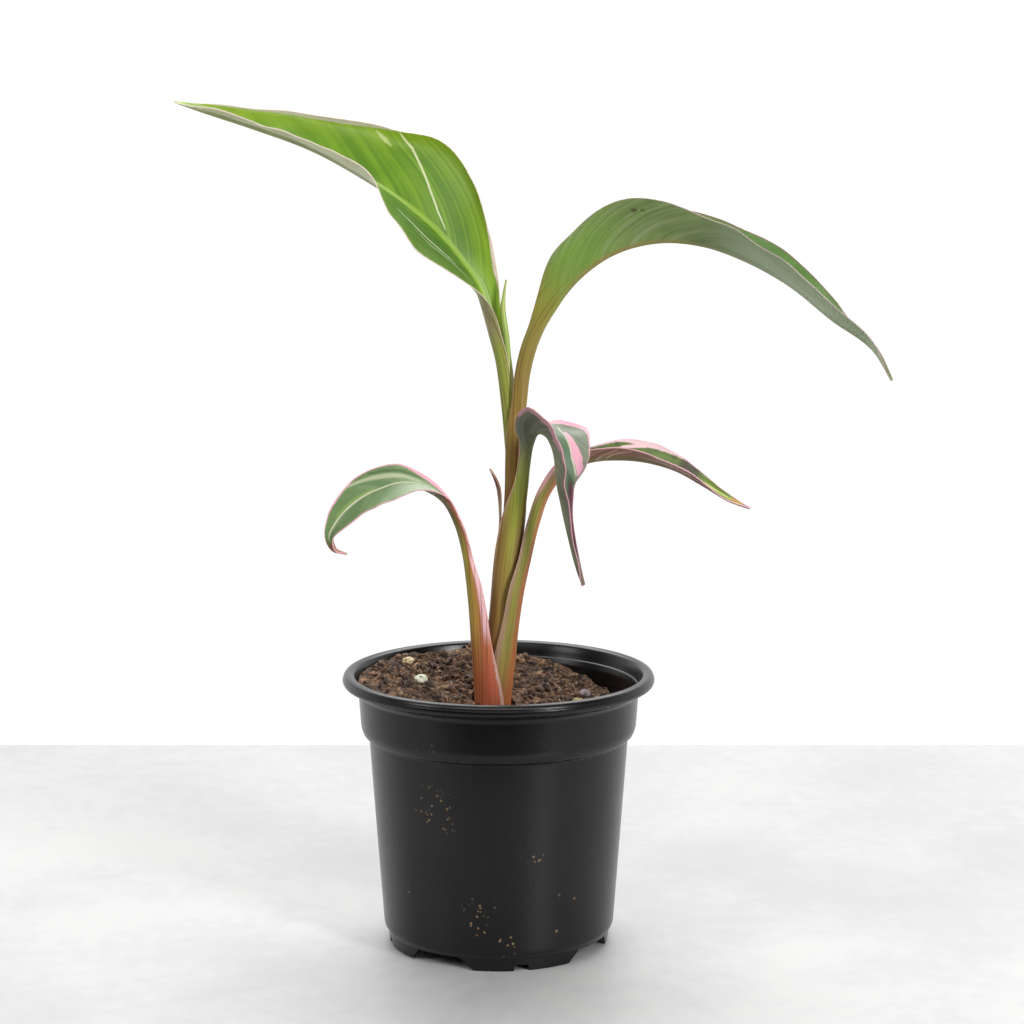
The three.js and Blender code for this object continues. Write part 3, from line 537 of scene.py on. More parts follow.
def make_piece(name, points, faces, material, slot, crease=40, **attributes):
    """A smooth-shaded piece from points in millimetres, which rides on the root body.

    An attribute gives each point three numbers, which the material reads by their name.
    """
    mesh = bpy.data.meshes.new(name)
    mesh.from_pydata([(x * MM + AXIS_X, y * MM, z * MM) for x, y, z in points], [], faces)
    mesh.update()
    mesh.shade_smooth()
    mesh.set_sharp_from_angle(angle=math.radians(crease))
    mesh.materials.append(material)
    for key, values in attributes.items():
        attribute = mesh.attributes.new(key, "FLOAT_VECTOR", "POINT")
        attribute.data.foreach_set("vector", [number for value in values for number in value])
    piece = placed(name, mesh)
    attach(piece, "root")
    return piece


def make_leaf(leaf, material):
    points, faces, places, edges = leaf_loft(leaf)
    name = leaf["name"]
    piece = make_piece(name + "_fine", points, faces, material, name, 60,
                       leaf_place=places, leaf_edge=edges)
    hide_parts(name)


# The youngest leaf: a rolled rod that ends in a thread. Each row: x, y, z and radius.
ROLL_ROWS = [
    *[[stem_axis_at(height), 0, height, 0.9] for height in (STEM_FOOT, 100, 140, 175)],
    [5.1, 0, 198, 1.0],
    [4.6, 0.1, 211, 1.2],
    [3.9, 0.6, 225, 1.3],
    [2.7, 1.0, 238, 1.3],
    [1.7, 1.4, 247, 1.0],
    [2.2, 1.5, 253, 0.6],
    [3.0, 1.5, 258, 0.35],
]
ROLL_SIDES = 40
ROLL_RING = 1.2

# The roll's free margin winds round it: where it starts, and its turn for each millimetre along
# the roll. The roll's reach, in shares of its radius, is least just past the margin and grows
# from there in one turn
LAP_START = 1.1
LAP_TURN = 0.03
LAP_REACH = (0.93, 0.12)


def make_roll(material):
    """The rolled leaf: its free margin winds round it as a low step."""
    curve = RowCurve(ROLL_ROWS)
    rings = round(curve.length / ROLL_RING)
    points, places = [], []
    for r in range(rings + 1):
        along = curve.length * r / rings
        x, y, z, radius = curve.at(along)
        for i in range(ROLL_SIDES):
            turn = 2 * math.pi * i / ROLL_SIDES
            share = ((turn - (LAP_START + along * LAP_TURN)) / (2 * math.pi)) % 1
            reach = radius * (LAP_REACH[0] + LAP_REACH[1] * share)
            points.append((x + reach * math.cos(turn), y + reach * math.sin(turn), z))
            places.append((along, share, radius))
    faces = tube_faces(rings + 1, ROLL_SIDES)
    piece = make_piece("new_leaf_roll_fine", points, faces, material, "new_leaf_roll", 35,
                       roll_place=places)
    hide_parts("new_leaf_roll")


def body_radius(height):
    t = (height - FOOT_HEIGHT) / (COLLAR_LOW - FOOT_HEIGHT)
    return BODY_FOOT_RADIUS + t * (BODY_TOP_RADIUS - BODY_FOOT_RADIUS)


# The outside of the pot from the middle of its floor to the crest of its lip: radius, height
# and rounding
POT_OUTSIDE = [
    (0, DISH_HEIGHT, 0),
    (DISH_RADIUS, DISH_HEIGHT, 0.8),
    (DISH_EDGE, FLOOR_TOP - WALL, 0.8),
    (FOOT_RADIUS - FOOT_THICKNESS, FLOOR_TOP - WALL, 0.6),
    (FOOT_RADIUS - FOOT_THICKNESS, 0, 0.4),
    (FOOT_RADIUS, 0, 0.5),
    (FOOT_RADIUS + 0.8, FOOT_HEIGHT - 1.6, 0.8),
    (BODY_FOOT_RADIUS - 0.3, FOOT_HEIGHT, 0.5),
    (body_radius(FOOT_HEIGHT + 1.4), FOOT_HEIGHT + 1.4, 1.2),
    (body_radius(COLLAR_LOW - 1), COLLAR_LOW - 1, 0.5),
    (COLLAR_RADIUS - COLLAR_TAPER - 1, COLLAR_LOW + 0.4, 0.5),
    (COLLAR_RADIUS - COLLAR_TAPER, COLLAR_LOW + 3, 1.6),
    (COLLAR_RADIUS, COLLAR_HIGH, 0.6),
    (COLLAR_RADIUS + 1.2, COLLAR_HIGH + 1.6, 0.5),
    (RIM_RADIUS - 2.0, LIP_LOW, 0.6),
    (RIM_RADIUS - 0.5, LIP_LOW + 0.6, 0.4),
    (RIM_RADIUS, LIP_LOW + 1.6, 0.4),
    (RIM_RADIUS, RIM_HEIGHT - 2.3, 0.25),
    (RIM_RADIUS - 0.35, RIM_HEIGHT - 2.0, 0.2),
    (RIM_RADIUS - 0.25, RIM_HEIGHT - 1.6, 0.3),
    (RIM_RADIUS - 0.9, RIM_HEIGHT - 0.5, 0.6),
    (RIM_RADIUS - 2.4, RIM_HEIGHT, 1.0),
]

# The inside of the pot from the floor's edge to the rim, and its floor from there inwards
POT_INSIDE = [
    (body_radius(FLOOR_TOP) - WALL - 1, FLOOR_TOP, 0.6),
    (body_radius(FLOOR_TOP + 1.5) - WALL, FLOOR_TOP + 1.5, 0.6),
    (body_radius(COLLAR_LOW) - WALL, COLLAR_LOW - 1.2, 0.6),
    (COLLAR_RADIUS - COLLAR_TAPER - WALL, COLLAR_LOW + 1.2, 0.6),
    (COLLAR_RADIUS - WALL, COLLAR_HIGH, 0.5),
    (COLLAR_RADIUS - WALL + 0.7, COLLAR_HIGH + 2.2, 0.2),
    (COLLAR_RADIUS - WALL + 1.3, COLLAR_HIGH + 2.5, 0.2),
    (RIM_RADIUS - LIP_WIDTH - 0.9, RIM_HEIGHT - 3, 0.8),
    (RIM_RADIUS - LIP_WIDTH, RIM_HEIGHT - 0.7, 0.8),
]
POT_FLOOR = [
    (DISH_EDGE, FLOOR_TOP, 0.8),
    (DISH_RADIUS, DISH_HEIGHT + WALL, 0.8),
    (0, DISH_HEIGHT + WALL, 0),
]
ARC_STEPS = 5


def rounded(corners):
    """A profile whose corners (radius, height, rounding) are turned into short arcs."""
    profile = []
    for i, (radius, height, rounding) in enumerate(corners):
        corner = Vector((radius, height))
        if rounding == 0 or i in (0, len(corners) - 1):
            profile.append((radius, height))
            continue
        before = Vector(corners[i - 1][:2]) - corner
        after = Vector(corners[i + 1][:2]) - corner
        start = corner + before.normalized() * min(rounding, before.length * 0.48)
        end = corner + after.normalized() * min(rounding, after.length * 0.48)
        for k in range(ARC_STEPS + 1):
            t = k / ARC_STEPS
            point = start * (1 - t) ** 2 + corner * (2 * t * (1 - t)) + end * t * t
            profile.append((point.x, point.y))
    return profile


def notch_block(turn, width, top, height):
    """Two rings of points of the wedge that cuts one notch out of the foot ring."""
    section = [(-width / 2, -1), (width / 2, -1), (width / 2, 0), (top / 2, height),
               (-top / 2, height), (-width / 2, 0)]
    spin = Matrix.Rotation(math.radians(turn), 3, "Z")
    return [[spin @ Vector((x, y, z)) for x, z in section]
            for y in (-FOOT_RADIUS - 4, -FOOT_RADIUS + 8)]


def drain_plug(x, y, radius):
    """Two rings of points of the cylinder that cuts one drain hole out of the pot's floor."""
    return [[(x + dx, y + dy, z) for dx, dy in circle(DRAIN_SIDES, radius)]
            for z in (0.5, FLOOR_TOP + 2)]


def cutter_mesh():
    """Points and faces of all that is cut out of the pot."""
    blocks = [notch_block(turn + 360 * i / NOTCH_REPEATS, width, top, height)
              for i in range(NOTCH_REPEATS) for turn, width, top, height in NOTCHES]
    blocks.append(drain_plug(0, 0, MIDDLE_DRAIN))
    for i in range(DRAIN_COUNT):
        turn = 2 * math.pi * (i + 0.5) / DRAIN_COUNT
        blocks.append(drain_plug(DRAIN_RING * math.cos(turn), DRAIN_RING * math.sin(turn),
                                 DRAIN_RADIUS))
    points, faces = [], []
    for low, high in blocks:
        faces += tube_faces(2, len(low), len(points))
        points += low + high
    return points, faces


def bare_object(name, points, faces):
    """A closed object in millimetres, with its faces turned outwards."""
    mesh = bpy.data.meshes.new(name)
    mesh.from_pydata([Vector(point) for point in points], [], faces)
    shape = bmesh.new()
    shape.from_mesh(mesh)
    bmesh.ops.recalc_face_normals(shape, faces=shape.faces)
    shape.to_mesh(mesh)
    shape.free()
    return placed(name, mesh)


def make_pot(material):
    profile = rounded(POT_OUTSIDE + POT_INSIDE[::-1] + POT_FLOOR)
    columns = [[(radius * dx, radius * dy, height) for radius, height in profile[1:-1]]
               for dx, dy in circle(POT_SIDES)]
    ends = [(0, 0, height) for radius, height in (profile[0], profile[-1])]
    whole = bare_object("pot_blank", *turned(columns, *ends))
    cutter = bare_object("pot_cutter", *cutter_mesh())
    cut = whole.modifiers.new("cut", "BOOLEAN")
    cut.operation = "DIFFERENCE"
    cut.solver = "EXACT"
    cut.object = cutter
    done = whole.evaluated_get(bpy.context.evaluated_depsgraph_get())
    mesh = done.to_mesh()
    points = [tuple(vertex.co) for vertex in mesh.vertices]
    faces = [tuple(polygon.vertices) for polygon in mesh.polygons]
    done.to_mesh_clear()
    for spare in (whole.data, cutter.data):
        bpy.data.meshes.remove(spare)
    piece = make_piece("pot_shell", points, faces, material, "pot_plastic", 32)
    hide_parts("pot")


def soil_height(x, y):
    """Height of the plain slope of the soil."""
    t = SOIL_SLOPE * (SOIL_UPHILL[0] * x + SOIL_UPHILL[1] * y)
    limit = SOIL_RISE if t > 0 else SOIL_FALL
    return SOIL_MID + limit * math.tanh(t / limit)


def soil_surface(x, y):
    """Height of the crumbly surface: the plain slope with clods and crumbs on it."""
    height = soil_height(x, y)
    for size, shift, falloff, step, octaves, rise in SOIL_RELIEF:
        spot = Vector((x, y, 0)) / size + Vector(shift)
        height += rise * noise.fractal(spot, falloff, step, octaves)
    return height


def wall_radius(height):
    """Radius of the soil's side, which follows the pot's wall at a small clearance."""
    return read_line(POT_INSIDE, height, 1, 0) - CLEARANCE


def soil_side(rim):
    """The soil's side and underside below its rim: radius and height of each point."""
    heights = (min(rim - 3, COLLAR_HIGH - 2), COLLAR_LOW + 1.2, COLLAR_LOW - 1.2, FLOOR_TOP + 1.5)
    return [
        *[(wall_radius(height), height) for height in heights],
        (wall_radius(FLOOR_TOP) - 0.4, FLOOR_TOP + CLEARANCE),
        (DISH_EDGE, FLOOR_TOP + CLEARANCE),
        (DISH_RADIUS - 0.2, DISH_HEIGHT + WALL + CLEARANCE),
    ]


def make_soil(material):
    axis = stem_axis_at(SOIL_MID)
    foot = stem_axis_at(STEM_FOOT)
    hole_floor = STEM_FOOT - CORM_HEIGHT - CLEARANCE
    columns = []
    for dx, dy in circle(SOIL_SIDES):
        column = [(foot + SOIL_HOLE * dx, SOIL_HOLE * dy, z) for z in (hole_floor, STEM_FOOT)]
        rim = soil_height(COLLAR_RADIUS * dx, COLLAR_RADIUS * dy)
        edge = wall_radius(rim) - 0.1
        for r in range(SOIL_RINGS + 1):
            x = mixed(axis + SOIL_HOLE * dx, edge * dx, r / SOIL_RINGS)
            y = mixed(SOIL_HOLE * dy, edge * dy, r / SOIL_RINGS)
            column.append((x, y, soil_surface(x, y)))
        column += [(radius * dx, radius * dy, height) for radius, height in soil_side(rim)]
        columns.append(column)
    under = (0, 0, DISH_HEIGHT + WALL + CLEARANCE)
    points, faces = turned(columns, (foot, 0, hole_floor), under)
    # The columns run from the hole outwards and down, so their faces are turned over
    faces = [(face[0], *face[:0:-1]) for face in faces]
    piece = make_piece("soil_bed", points, faces, material, "soil", 70)
    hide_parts("soil")


def ball(cuts):
    """Points and faces of a ball of 20 triangles, each cut in four once for each further cut."""
    shape = bmesh.new()
    bmesh.ops.create_icosphere(shape, subdivisions=cuts, radius=1)
    points = [vertex.co.copy() for vertex in shape.verts]
    faces = [tuple(vertex.index for vertex in face.verts) for face in shape.faces]
    shape.free()
    return points, faces


def make_crumbs(material):
    """Loose crumbs and shreds of peat, lying on the soil."""
    chance = random.Random(11)
    small, large = ball(1), ball(2)
    least, spread, rarity = CRUMB_SIZES
    axis = stem_axis_at(SOIL_MID)
    points, faces, tints = [], [], []
    made = 0
    while made < CRUMB_COUNT:
        x, y = [chance.uniform(-CRUMB_SPREAD, CRUMB_SPREAD) for side in range(2)]
        size = least + spread * chance.random() ** rarity
        far = wall_radius(soil_height(x, y)) - CRUMB_REACH * size - CRUMB_WALL_GAP
        near = SOIL_HOLE + CRUMB_REACH * size
        if math.hypot(x, y) > far or math.hypot(x - axis, y) < near:
            continue
        made += 1
        corners, ball_faces = large if size > LARGE_CRUMB else small
        angle = chance.uniform(0, ANY_TURN)
        hinge = Vector([chance.gauss(0, 1) for side in range(3)]).normalized()
        turn = Matrix.Rotation(angle, 3, hinge)
        flat = Vector((1.15, chance.uniform(0.55, 1), chance.uniform(0.4, 0.85))) * size
        centre = Vector((x, y, soil_surface(x, y) + 0.25 * size))
        tint = (chance.random(), chance.random(), size)
        faces.extend(tuple(len(points) + i for i in face) for face in ball_faces)
        for corner in corners:
            points.append(centre + turn @ (corner * flat * chance.uniform(0.72, 1.2)))
            tints.append(tint)
    make_piece("soil_crumbs", points, faces, material, "soil", 55, crumb=tints)


def tube(line, radii, sides):
    """Points of a tube along a line of points."""
    points = []
    line = [Vector(point) for point in line]
    for i, centre in enumerate(line):
        before = line[max(0, i - 1)]
        after = line[min(len(line) - 1, i + 1)]
        forward = (after - before).normalized()
        side = forward.orthogonal().normalized()
        up = forward.cross(side)
        points += [centre + (side * x + up * y) * radii[i] for x, y in circle(sides)]
    return points


def make_fibres(material):
    """Root threads and shreds of bark that lie across the soil."""
    chance = random.Random(23)
    axis = stem_axis_at(SOIL_MID)
    points, faces, tints = [], [], []
    made = 0
    while made < FIBRE_COUNT:
        x, y = [chance.uniform(-FIBRE_SPREAD, FIBRE_SPREAD) for side in range(2)]
        length = chance.uniform(2.5, 8.5)
        heading = chance.uniform(0, ANY_TURN)
        bow = chance.uniform(-0.12, 0.12)
        lift = chance.uniform(0.1, 0.7)
        arch = chance.uniform(-0.1, 1.2) * chance.random()
        line = []
        for k in range(FIBRE_STEPS + 1):
            t = k / FIBRE_STEPS
            turn = heading + bow * length * (t - 0.5) + 0.25 * math.sin(7 * t + heading)
            if k:
                x += math.cos(turn) * length / FIBRE_STEPS
                y += math.sin(turn) * length / FIBRE_STEPS
            ground = soil_surface(x, y) * 0.6 + soil_height(x, y) * 0.4
            line.append((x, y, ground + lift + arch * math.sin(math.pi * t)))
        far = max(math.hypot(x, y) - wall_radius(z) for x, y, z in line) + FIBRE_WALL_GAP
        near = min(math.hypot(x - axis, y) for x, y, z in line) - FIBRE_STEM_GAP
        if far > 0 or near < SOIL_HOLE:
            continue
        made += 1
        thick = 0.1 + 0.26 * chance.random() ** 2
        radii = [thick * (0.45 + 0.55 * math.sin(math.pi * (0.1 + 0.8 * k / FIBRE_STEPS)))
                 for k in range(FIBRE_STEPS + 1)]
        faces += tube_faces(FIBRE_STEPS + 1, FIBRE_SIDES, len(points))
        fibre = tube(line, radii, FIBRE_SIDES)
        points += fibre
        tints += [(chance.random(), chance.random(), thick)] * len(fibre)
    make_piece("soil_fibres", points, faces, material, "soil", 70, crumb=tints)


# Pale lumps lying in the soil: name, place in plan, size, and their dark, light and pit colours
LUMPS = [
    ("perlite_lump", -30.3, 7, 2.6, (176, 178, 150), (214, 214, 196), (120, 118, 92)),
    ("cream_bark_chip", -36, 28, 2.3, (190, 168, 124), (224, 210, 172), (126, 98, 66)),
    ("grey_bark_flake", 34, 20, 2.2, (110, 98, 102), (160, 148, 152), (70, 58, 58)),
    ("olive_bark_chip", 31, 9, 2.4, (116, 104, 60), (168, 152, 96), (66, 56, 36)),
]


def make_lump(name, x, y, size, seed, material):
    """A rough little stone or chip with a pitted surface."""
    corners, faces = ball(5)
    centre = Vector((x, y, soil_height(x, y) + 0.35 * size))
    points = []
    for corner in corners:
        rough = 1
        for steps, shift, height in LUMP_RELIEF:
            rough += height * noise.noise(corner * steps + Vector((seed * shift, 0, 0)))
        spot = Vector((corner.x * 1.12, corner.y, corner.z * 0.78)) * (size * rough * 0.97)
        points.append(centre + spot)
    piece = make_piece(name + "_fine", points, faces, material, name, 60)
    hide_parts(name)


def rgb(red, green, blue):
    """A colour from its display values, 0 to 255, in the linear numbers that shaders use."""
    linear = []
    for value in (red, green, blue):
        share = value / 255
        linear.append(share / 12.92 if share <= 0.04045 else ((share + 0.055) / 1.055) ** 2.4)
    return tuple(linear)


class Value:
    """A number, place or colour that varies over a surface: the output of a node."""

    def __init__(self, paint, socket):
        self.paint = paint
        self.socket = socket

    def __add__(self, other):
        return self.paint.maths("ADD", self, other)

    def __radd__(self, other):
        return self.paint.maths("ADD", other, self)

    def __sub__(self, other):
        return self.paint.maths("SUBTRACT", self, other)

    def __rsub__(self, other):
        return self.paint.maths("SUBTRACT", other, self)

    def __mul__(self, other):
        return self.paint.maths("MULTIPLY", self, other)

    def __rmul__(self, other):
        return self.paint.maths("MULTIPLY", other, self)

    def __abs__(self):
        return self.paint.maths("ABSOLUTE", self)


class Paint:
    """Short calls that build the node tree of a material or a world."""

    def __init__(self, owner):
        owner.use_nodes = True
        self.owner = owner
        self.tree = owner.node_tree

    def put(self, socket, value):
        """Links a value to a socket, or sets it there; a colour is in display values."""
        if isinstance(value, Value):
            self.tree.links.new(value.socket, socket)
        elif isinstance(value, tuple) and len(value) == 3 and socket.type == "RGBA":
            socket.default_value = (*rgb(*value), 1)
        else:
            socket.default_value = value

    def node(self, kind, inputs, **settings):
        made = self.tree.nodes.new("ShaderNode" + kind)
        for key, value in settings.items():
            setattr(made, key, value)
        for key, value in inputs.items():
            self.put(made.inputs[key], value)
        return made

    def value(self, output, kind, inputs, **settings):
        return Value(self, self.node(kind, inputs, **settings).outputs[output])

    def maths(self, operation, first, second=0.0):
        return self.value(0, "Math", {0: first, 1: second}, operation=operation)

    def rising(self, value, low, high):
        """0 below low and 1 above high, smooth between; falling where low is above high."""
        start, end = (0.0, 1.0) if low < high else (1.0, 0.0)
        inputs = {"Value": value, "From Min": min(low, high), "From Max": max(low, high),
                  "To Min": start, "To Max": end}
        return self.value("Result", "MapRange", inputs, interpolation_type="SMOOTHSTEP")

    def mix(self, share, first, second, blend="MIX"):
        return self.value(2, "Mix", {0: share, 6: first, 7: second}, data_type="RGBA",
                          blend_type=blend)

    def ramp(self, value, stops):
        """Numbers between stops, each a place and three numbers, as a colour."""
        made = self.node("ValToRGB", {"Fac": value})
        elements = made.color_ramp.elements
        while len(elements) > 1:
            elements.remove(elements[-1])
        for i, (place, *numbers) in enumerate(stops):
            element = elements[0] if i == 0 else elements.new(place)
            element.position = place
            element.color = (*numbers, 1)
        return Value(self, made.outputs["Color"])

    def shades(self, value, stops):
        """Colours between stops, each a place and the display values of its colour."""
        return self.ramp(value, [(place, *rgb(*colour)) for place, *colour in stops])

    def split(self, kind, inputs):
        return [Value(self, socket) for socket in self.node(kind, inputs).outputs]

    def attribute(self, name):
        made = self.tree.nodes.new("ShaderNodeAttribute")
        made.attribute_name = name
        return self.split("SeparateXYZ", {0: Value(self, made.outputs["Vector"])})

    def vector(self, x, y):
        return self.value(0, "CombineXYZ", {"X": x, "Y": y})

    def place(self):
        return self.value("Object", "TexCoord", {})

    def noise(self, vector, scale, detail=3.0, roughness=0.55):
        inputs = {"Vector": vector, "Scale": scale, "Detail": detail, "Roughness": roughness}
        return self.value("Fac", "TexNoise", inputs)

    def stripes(self, number, scale, detail):
        """Noise that varies with one number alone."""
        inputs = {"W": number, "Scale": scale, "Detail": detail, "Roughness": 0.5}
        return self.value("Fac", "TexNoise", inputs, noise_dimensions="1D")

    def cells(self, vector, scale):
        return self.value("Distance", "TexVoronoi", {"Vector": vector, "Scale": scale})

    def near(self, vector, point, radius):
        """1 at a point, falling to 0 at a radius from it."""
        away = self.value("Value", "VectorMath", {0: vector, 1: point}, operation="DISTANCE")
        return self.rising(away, radius, 0.4 * radius)

    def finish(self, **inputs):
        """Sets inputs of the surface's shader; a name's words are joined by underscores."""
        shader = self.tree.nodes["Principled BSDF"]
        for key, value in inputs.items():
            self.put(shader.inputs[key.replace("_", " ")], value)

    def surface(self, colour, roughness, height, depth, strength):
        """The material with its colour, its roughness and the depth of its relief in metres."""
        inputs = {"Height": height, "Distance": depth, "Strength": strength}
        relief = self.value("Normal", "Bump", inputs)
        self.finish(Base_Color=colour, Roughness=roughness, Normal=relief)
        return self.owner


def new_paint(name):
    return Paint(bpy.data.materials.new(name))


def leaf_material(leaf):
    """The skin of one leaf: sheath, petiole, midrib and the two faces of its blade."""
    look = {**PLAIN_LOOK, **LOOKS[leaf["name"]]}
    paint = new_paint(leaf["name"] + "_skin")
    along, across, vein = paint.attribute("leaf_place")
    margin, face, share = paint.attribute("leaf_edge")
    length = RowCurve(leaf["rows"]).length
    rise = along * (1 / length)
    upper = paint.rising(face, -0.02, 0.02)
    blade = paint.rising(along, leaf["blade_from"] - 14, leaf["blade_from"] + 8)
    stalk = 1.0 - blade

    # Stripes along the veins, calmer near the tip, where the veins run together
    calm = paint.rising(along, 0.92 * length, 0.7 * length)
    strand = vein + paint.rising(across, -0.01, 0.01) * 61.0
    stripes = (paint.stripes(strand, 0.36, 1.6) - 0.5) * calm + 0.5
    broad = paint.stripes(strand, 0.085, 1.0)
    flow = (paint.noise(paint.vector(strand * 0.55, across * 0.09), 1.0) - 0.5) * calm + 0.5
    mottle = paint.noise(paint.place(), 95.0)
    shade = stripes * 0.4 + broad * 0.25 + flow * 0.15 + mottle * 0.2
    tone = paint.rising(shade, 0.34, 0.66)

    # The two faces of the blade
    # The glow is painted light: a lighter, yellower band along the margin of the upper face that stands
    # in for light shining through the thin edge, over a yellower tone of the leaf's own
    painted_glow = paint.rising(margin, look["painted_glow_width"], 0.0) * look["painted_glow_share"]
    bloom = paint.rising(flow, 0.4, 0.7) * look["bloom_share"]
    rib = paint.rising(abs(across), look["rib_half"] + 0.5, look["rib_half"] - 0.5)
    top = paint.mix(painted_glow, paint.mix(tone, *look["top"]), look["painted_glow"])
    top = paint.mix(rib * look["rib_share"], top, look["ribs"][0])
    under = paint.mix(bloom, paint.mix(tone, *look["under"]), look["bloom"])
    under = paint.mix(rib * look["keel_share"], under, look["ribs"][1])

    # The sheath and the petiole, with their fine lines
    lines = paint.noise(paint.vector(along * 0.018, across), 1.15, 2.0, 0.6)
    threads = paint.noise(paint.vector(along * 0.012, across), 2.1, 1.5, 0.5)
    inner, outer, line, rim = [paint.shades(rise, look["petiole_" + part])
                               for part in ("top", "under", "line", "edge")]
    outer = paint.mix(paint.rising(lines, 0.42, 0.66) * 0.8, outer, line)
    colour = paint.mix(upper, paint.mix(blade, outer, under), paint.mix(blade, inner, top))

    places = {"along": along, "across": across, "vein": vein, "share": share}
    rough = paint.noise(paint.vector(along * 0.4, across), 1.3) - 0.5
    for mark in MARKS.get(leaf["name"], []):
        here = leaf_mark(paint, mark, places, margin, upper, rough)
        colour = paint.mix(here, colour, mark["colour"])
    furrow = paint.rising(threads, 0.52, 0.68) * 0.75 * stalk
    colour = paint.mix(furrow, colour, (176, 150, 128), "MULTIPLY")
    thread = paint.rising(threads, 0.46, 0.32) * 0.6 * stalk
    colour = paint.mix(thread, colour, (74, 62, 44), "SCREEN")
    ragged = margin + (stripes - 0.5) * 0.35
    edging = paint.rising(ragged, look["edge_width"] + 0.14, look["edge_width"] - 0.1)
    rim = paint.mix(blade, rim, look["edge"])
    colour = paint.mix(edging * look["edge_share"], colour, rim)

    gloss = look["roughness"] + (mottle - 0.5) * 0.18 + (1.0 - upper) * 0.1
    ridges = paint.maths("SINE", vein * (2 * math.pi / VEIN_SPACING)) * calm * 0.06
    relief = (ridges + stripes) * blade + (lines + threads) * stalk + mottle * 0.25
    paint.finish(Subsurface_Weight=0.12, Subsurface_Radius=(0.9, 1.0, 0.35),
                 Subsurface_Scale=0.0012)
    return paint.surface(colour, gloss, relief, 0.00016, 0.7)


def leaf_mark(paint, mark, places, margin, upper, rough):
    """The share, 0 to 1, of one streak, band or patch of variegation on a leaf."""
    jitter = rough * mark["ragged"]
    here = 1.0
    if "path" in mark:
        across = (margin if mark["on_margin"] else places["across"]) + jitter
        here = streak(paint, mark["path"], places["along"], across, mark["soft"])
    for key, value in places.items():
        if key in mark:
            low, high, fade = mark[key]
            value = value if key == "share" else value + jitter
            here = here * paint.rising(value, low - fade, low + fade)
            here = here * paint.rising(value, high + fade, high - fade)
    if mark["face"] == "top":
        here = here * upper
    if mark["face"] == "under":
        here = here * (1.0 - upper)
    return here * mark["strength"]


def streak(paint, path, along, across, soft):
    """1 on a tapered line that is given by places (along, across, half width) on the leaf."""
    low, high = path[0][0], path[-1][0]
    reach = (along - low) * (1 / (high - low))
    stops = [((place - low) / (high - low), 0.5 + centre / STREAK_SPREAD, half / STREAK_SPREAD, 0)
             for place, centre, half in path]
    centre, half = paint.split("SeparateColor", {0: paint.ramp(reach, stops)})[:2]
    centre = (centre - 0.5) * STREAK_SPREAD
    inside = half * STREAK_SPREAD - abs(across - centre)
    ends = paint.rising(reach, -0.03, 0.03) * paint.rising(reach, 1.03, 0.97)
    return paint.rising(inside, -soft, soft) * ends


def patch(face, colour, strength, ragged=0.6, **windows):
    """A patch between places on the leaf; a window is its low end, high end and softness."""
    return {"face": face, "colour": colour, "strength": strength, "ragged": ragged, **windows}


def line(face, colour, strength, ragged, soft, path):
    """A tapered line through places on the leaf: along, across and half width."""
    return patch(face, colour, strength, ragged, soft=soft, path=path, on_margin=False)


def hem(face, side, colour, strength, ragged, soft, band):
    """A band on the left or right margin of the leaf: places along it, and its width there."""
    path = [(place, 0, width) for place, width in band]
    share = (-1.1, 0, 0.02) if side == "left" else (0, 1.1, 0.02)
    return patch(face, colour, strength, ragged, soft=soft, path=path, share=share,
                 on_margin=True)


# The width that a streak's places across a leaf are scaled to, and the distance between two
# lateral veins
STREAK_SPREAD = 60.0
VEIN_SPACING = 0.95

# How a leaf looks where its own look says nothing else: width of the glow along the margin,
# which is painted light for light through the thin edge over a yellower tone of the leaf's own,
# shares of the glow, of the pale bloom underneath, of the midrib, of its keel and of the
# margin's colour, and the roughness
PLAIN_LOOK = {"painted_glow_width": 9.0, "painted_glow_share": 0.4, "bloom_share": 0.3, "rib_share": 0.8,
              "keel_share": 0.8, "edge_share": 0.85, "roughness": 0.42}
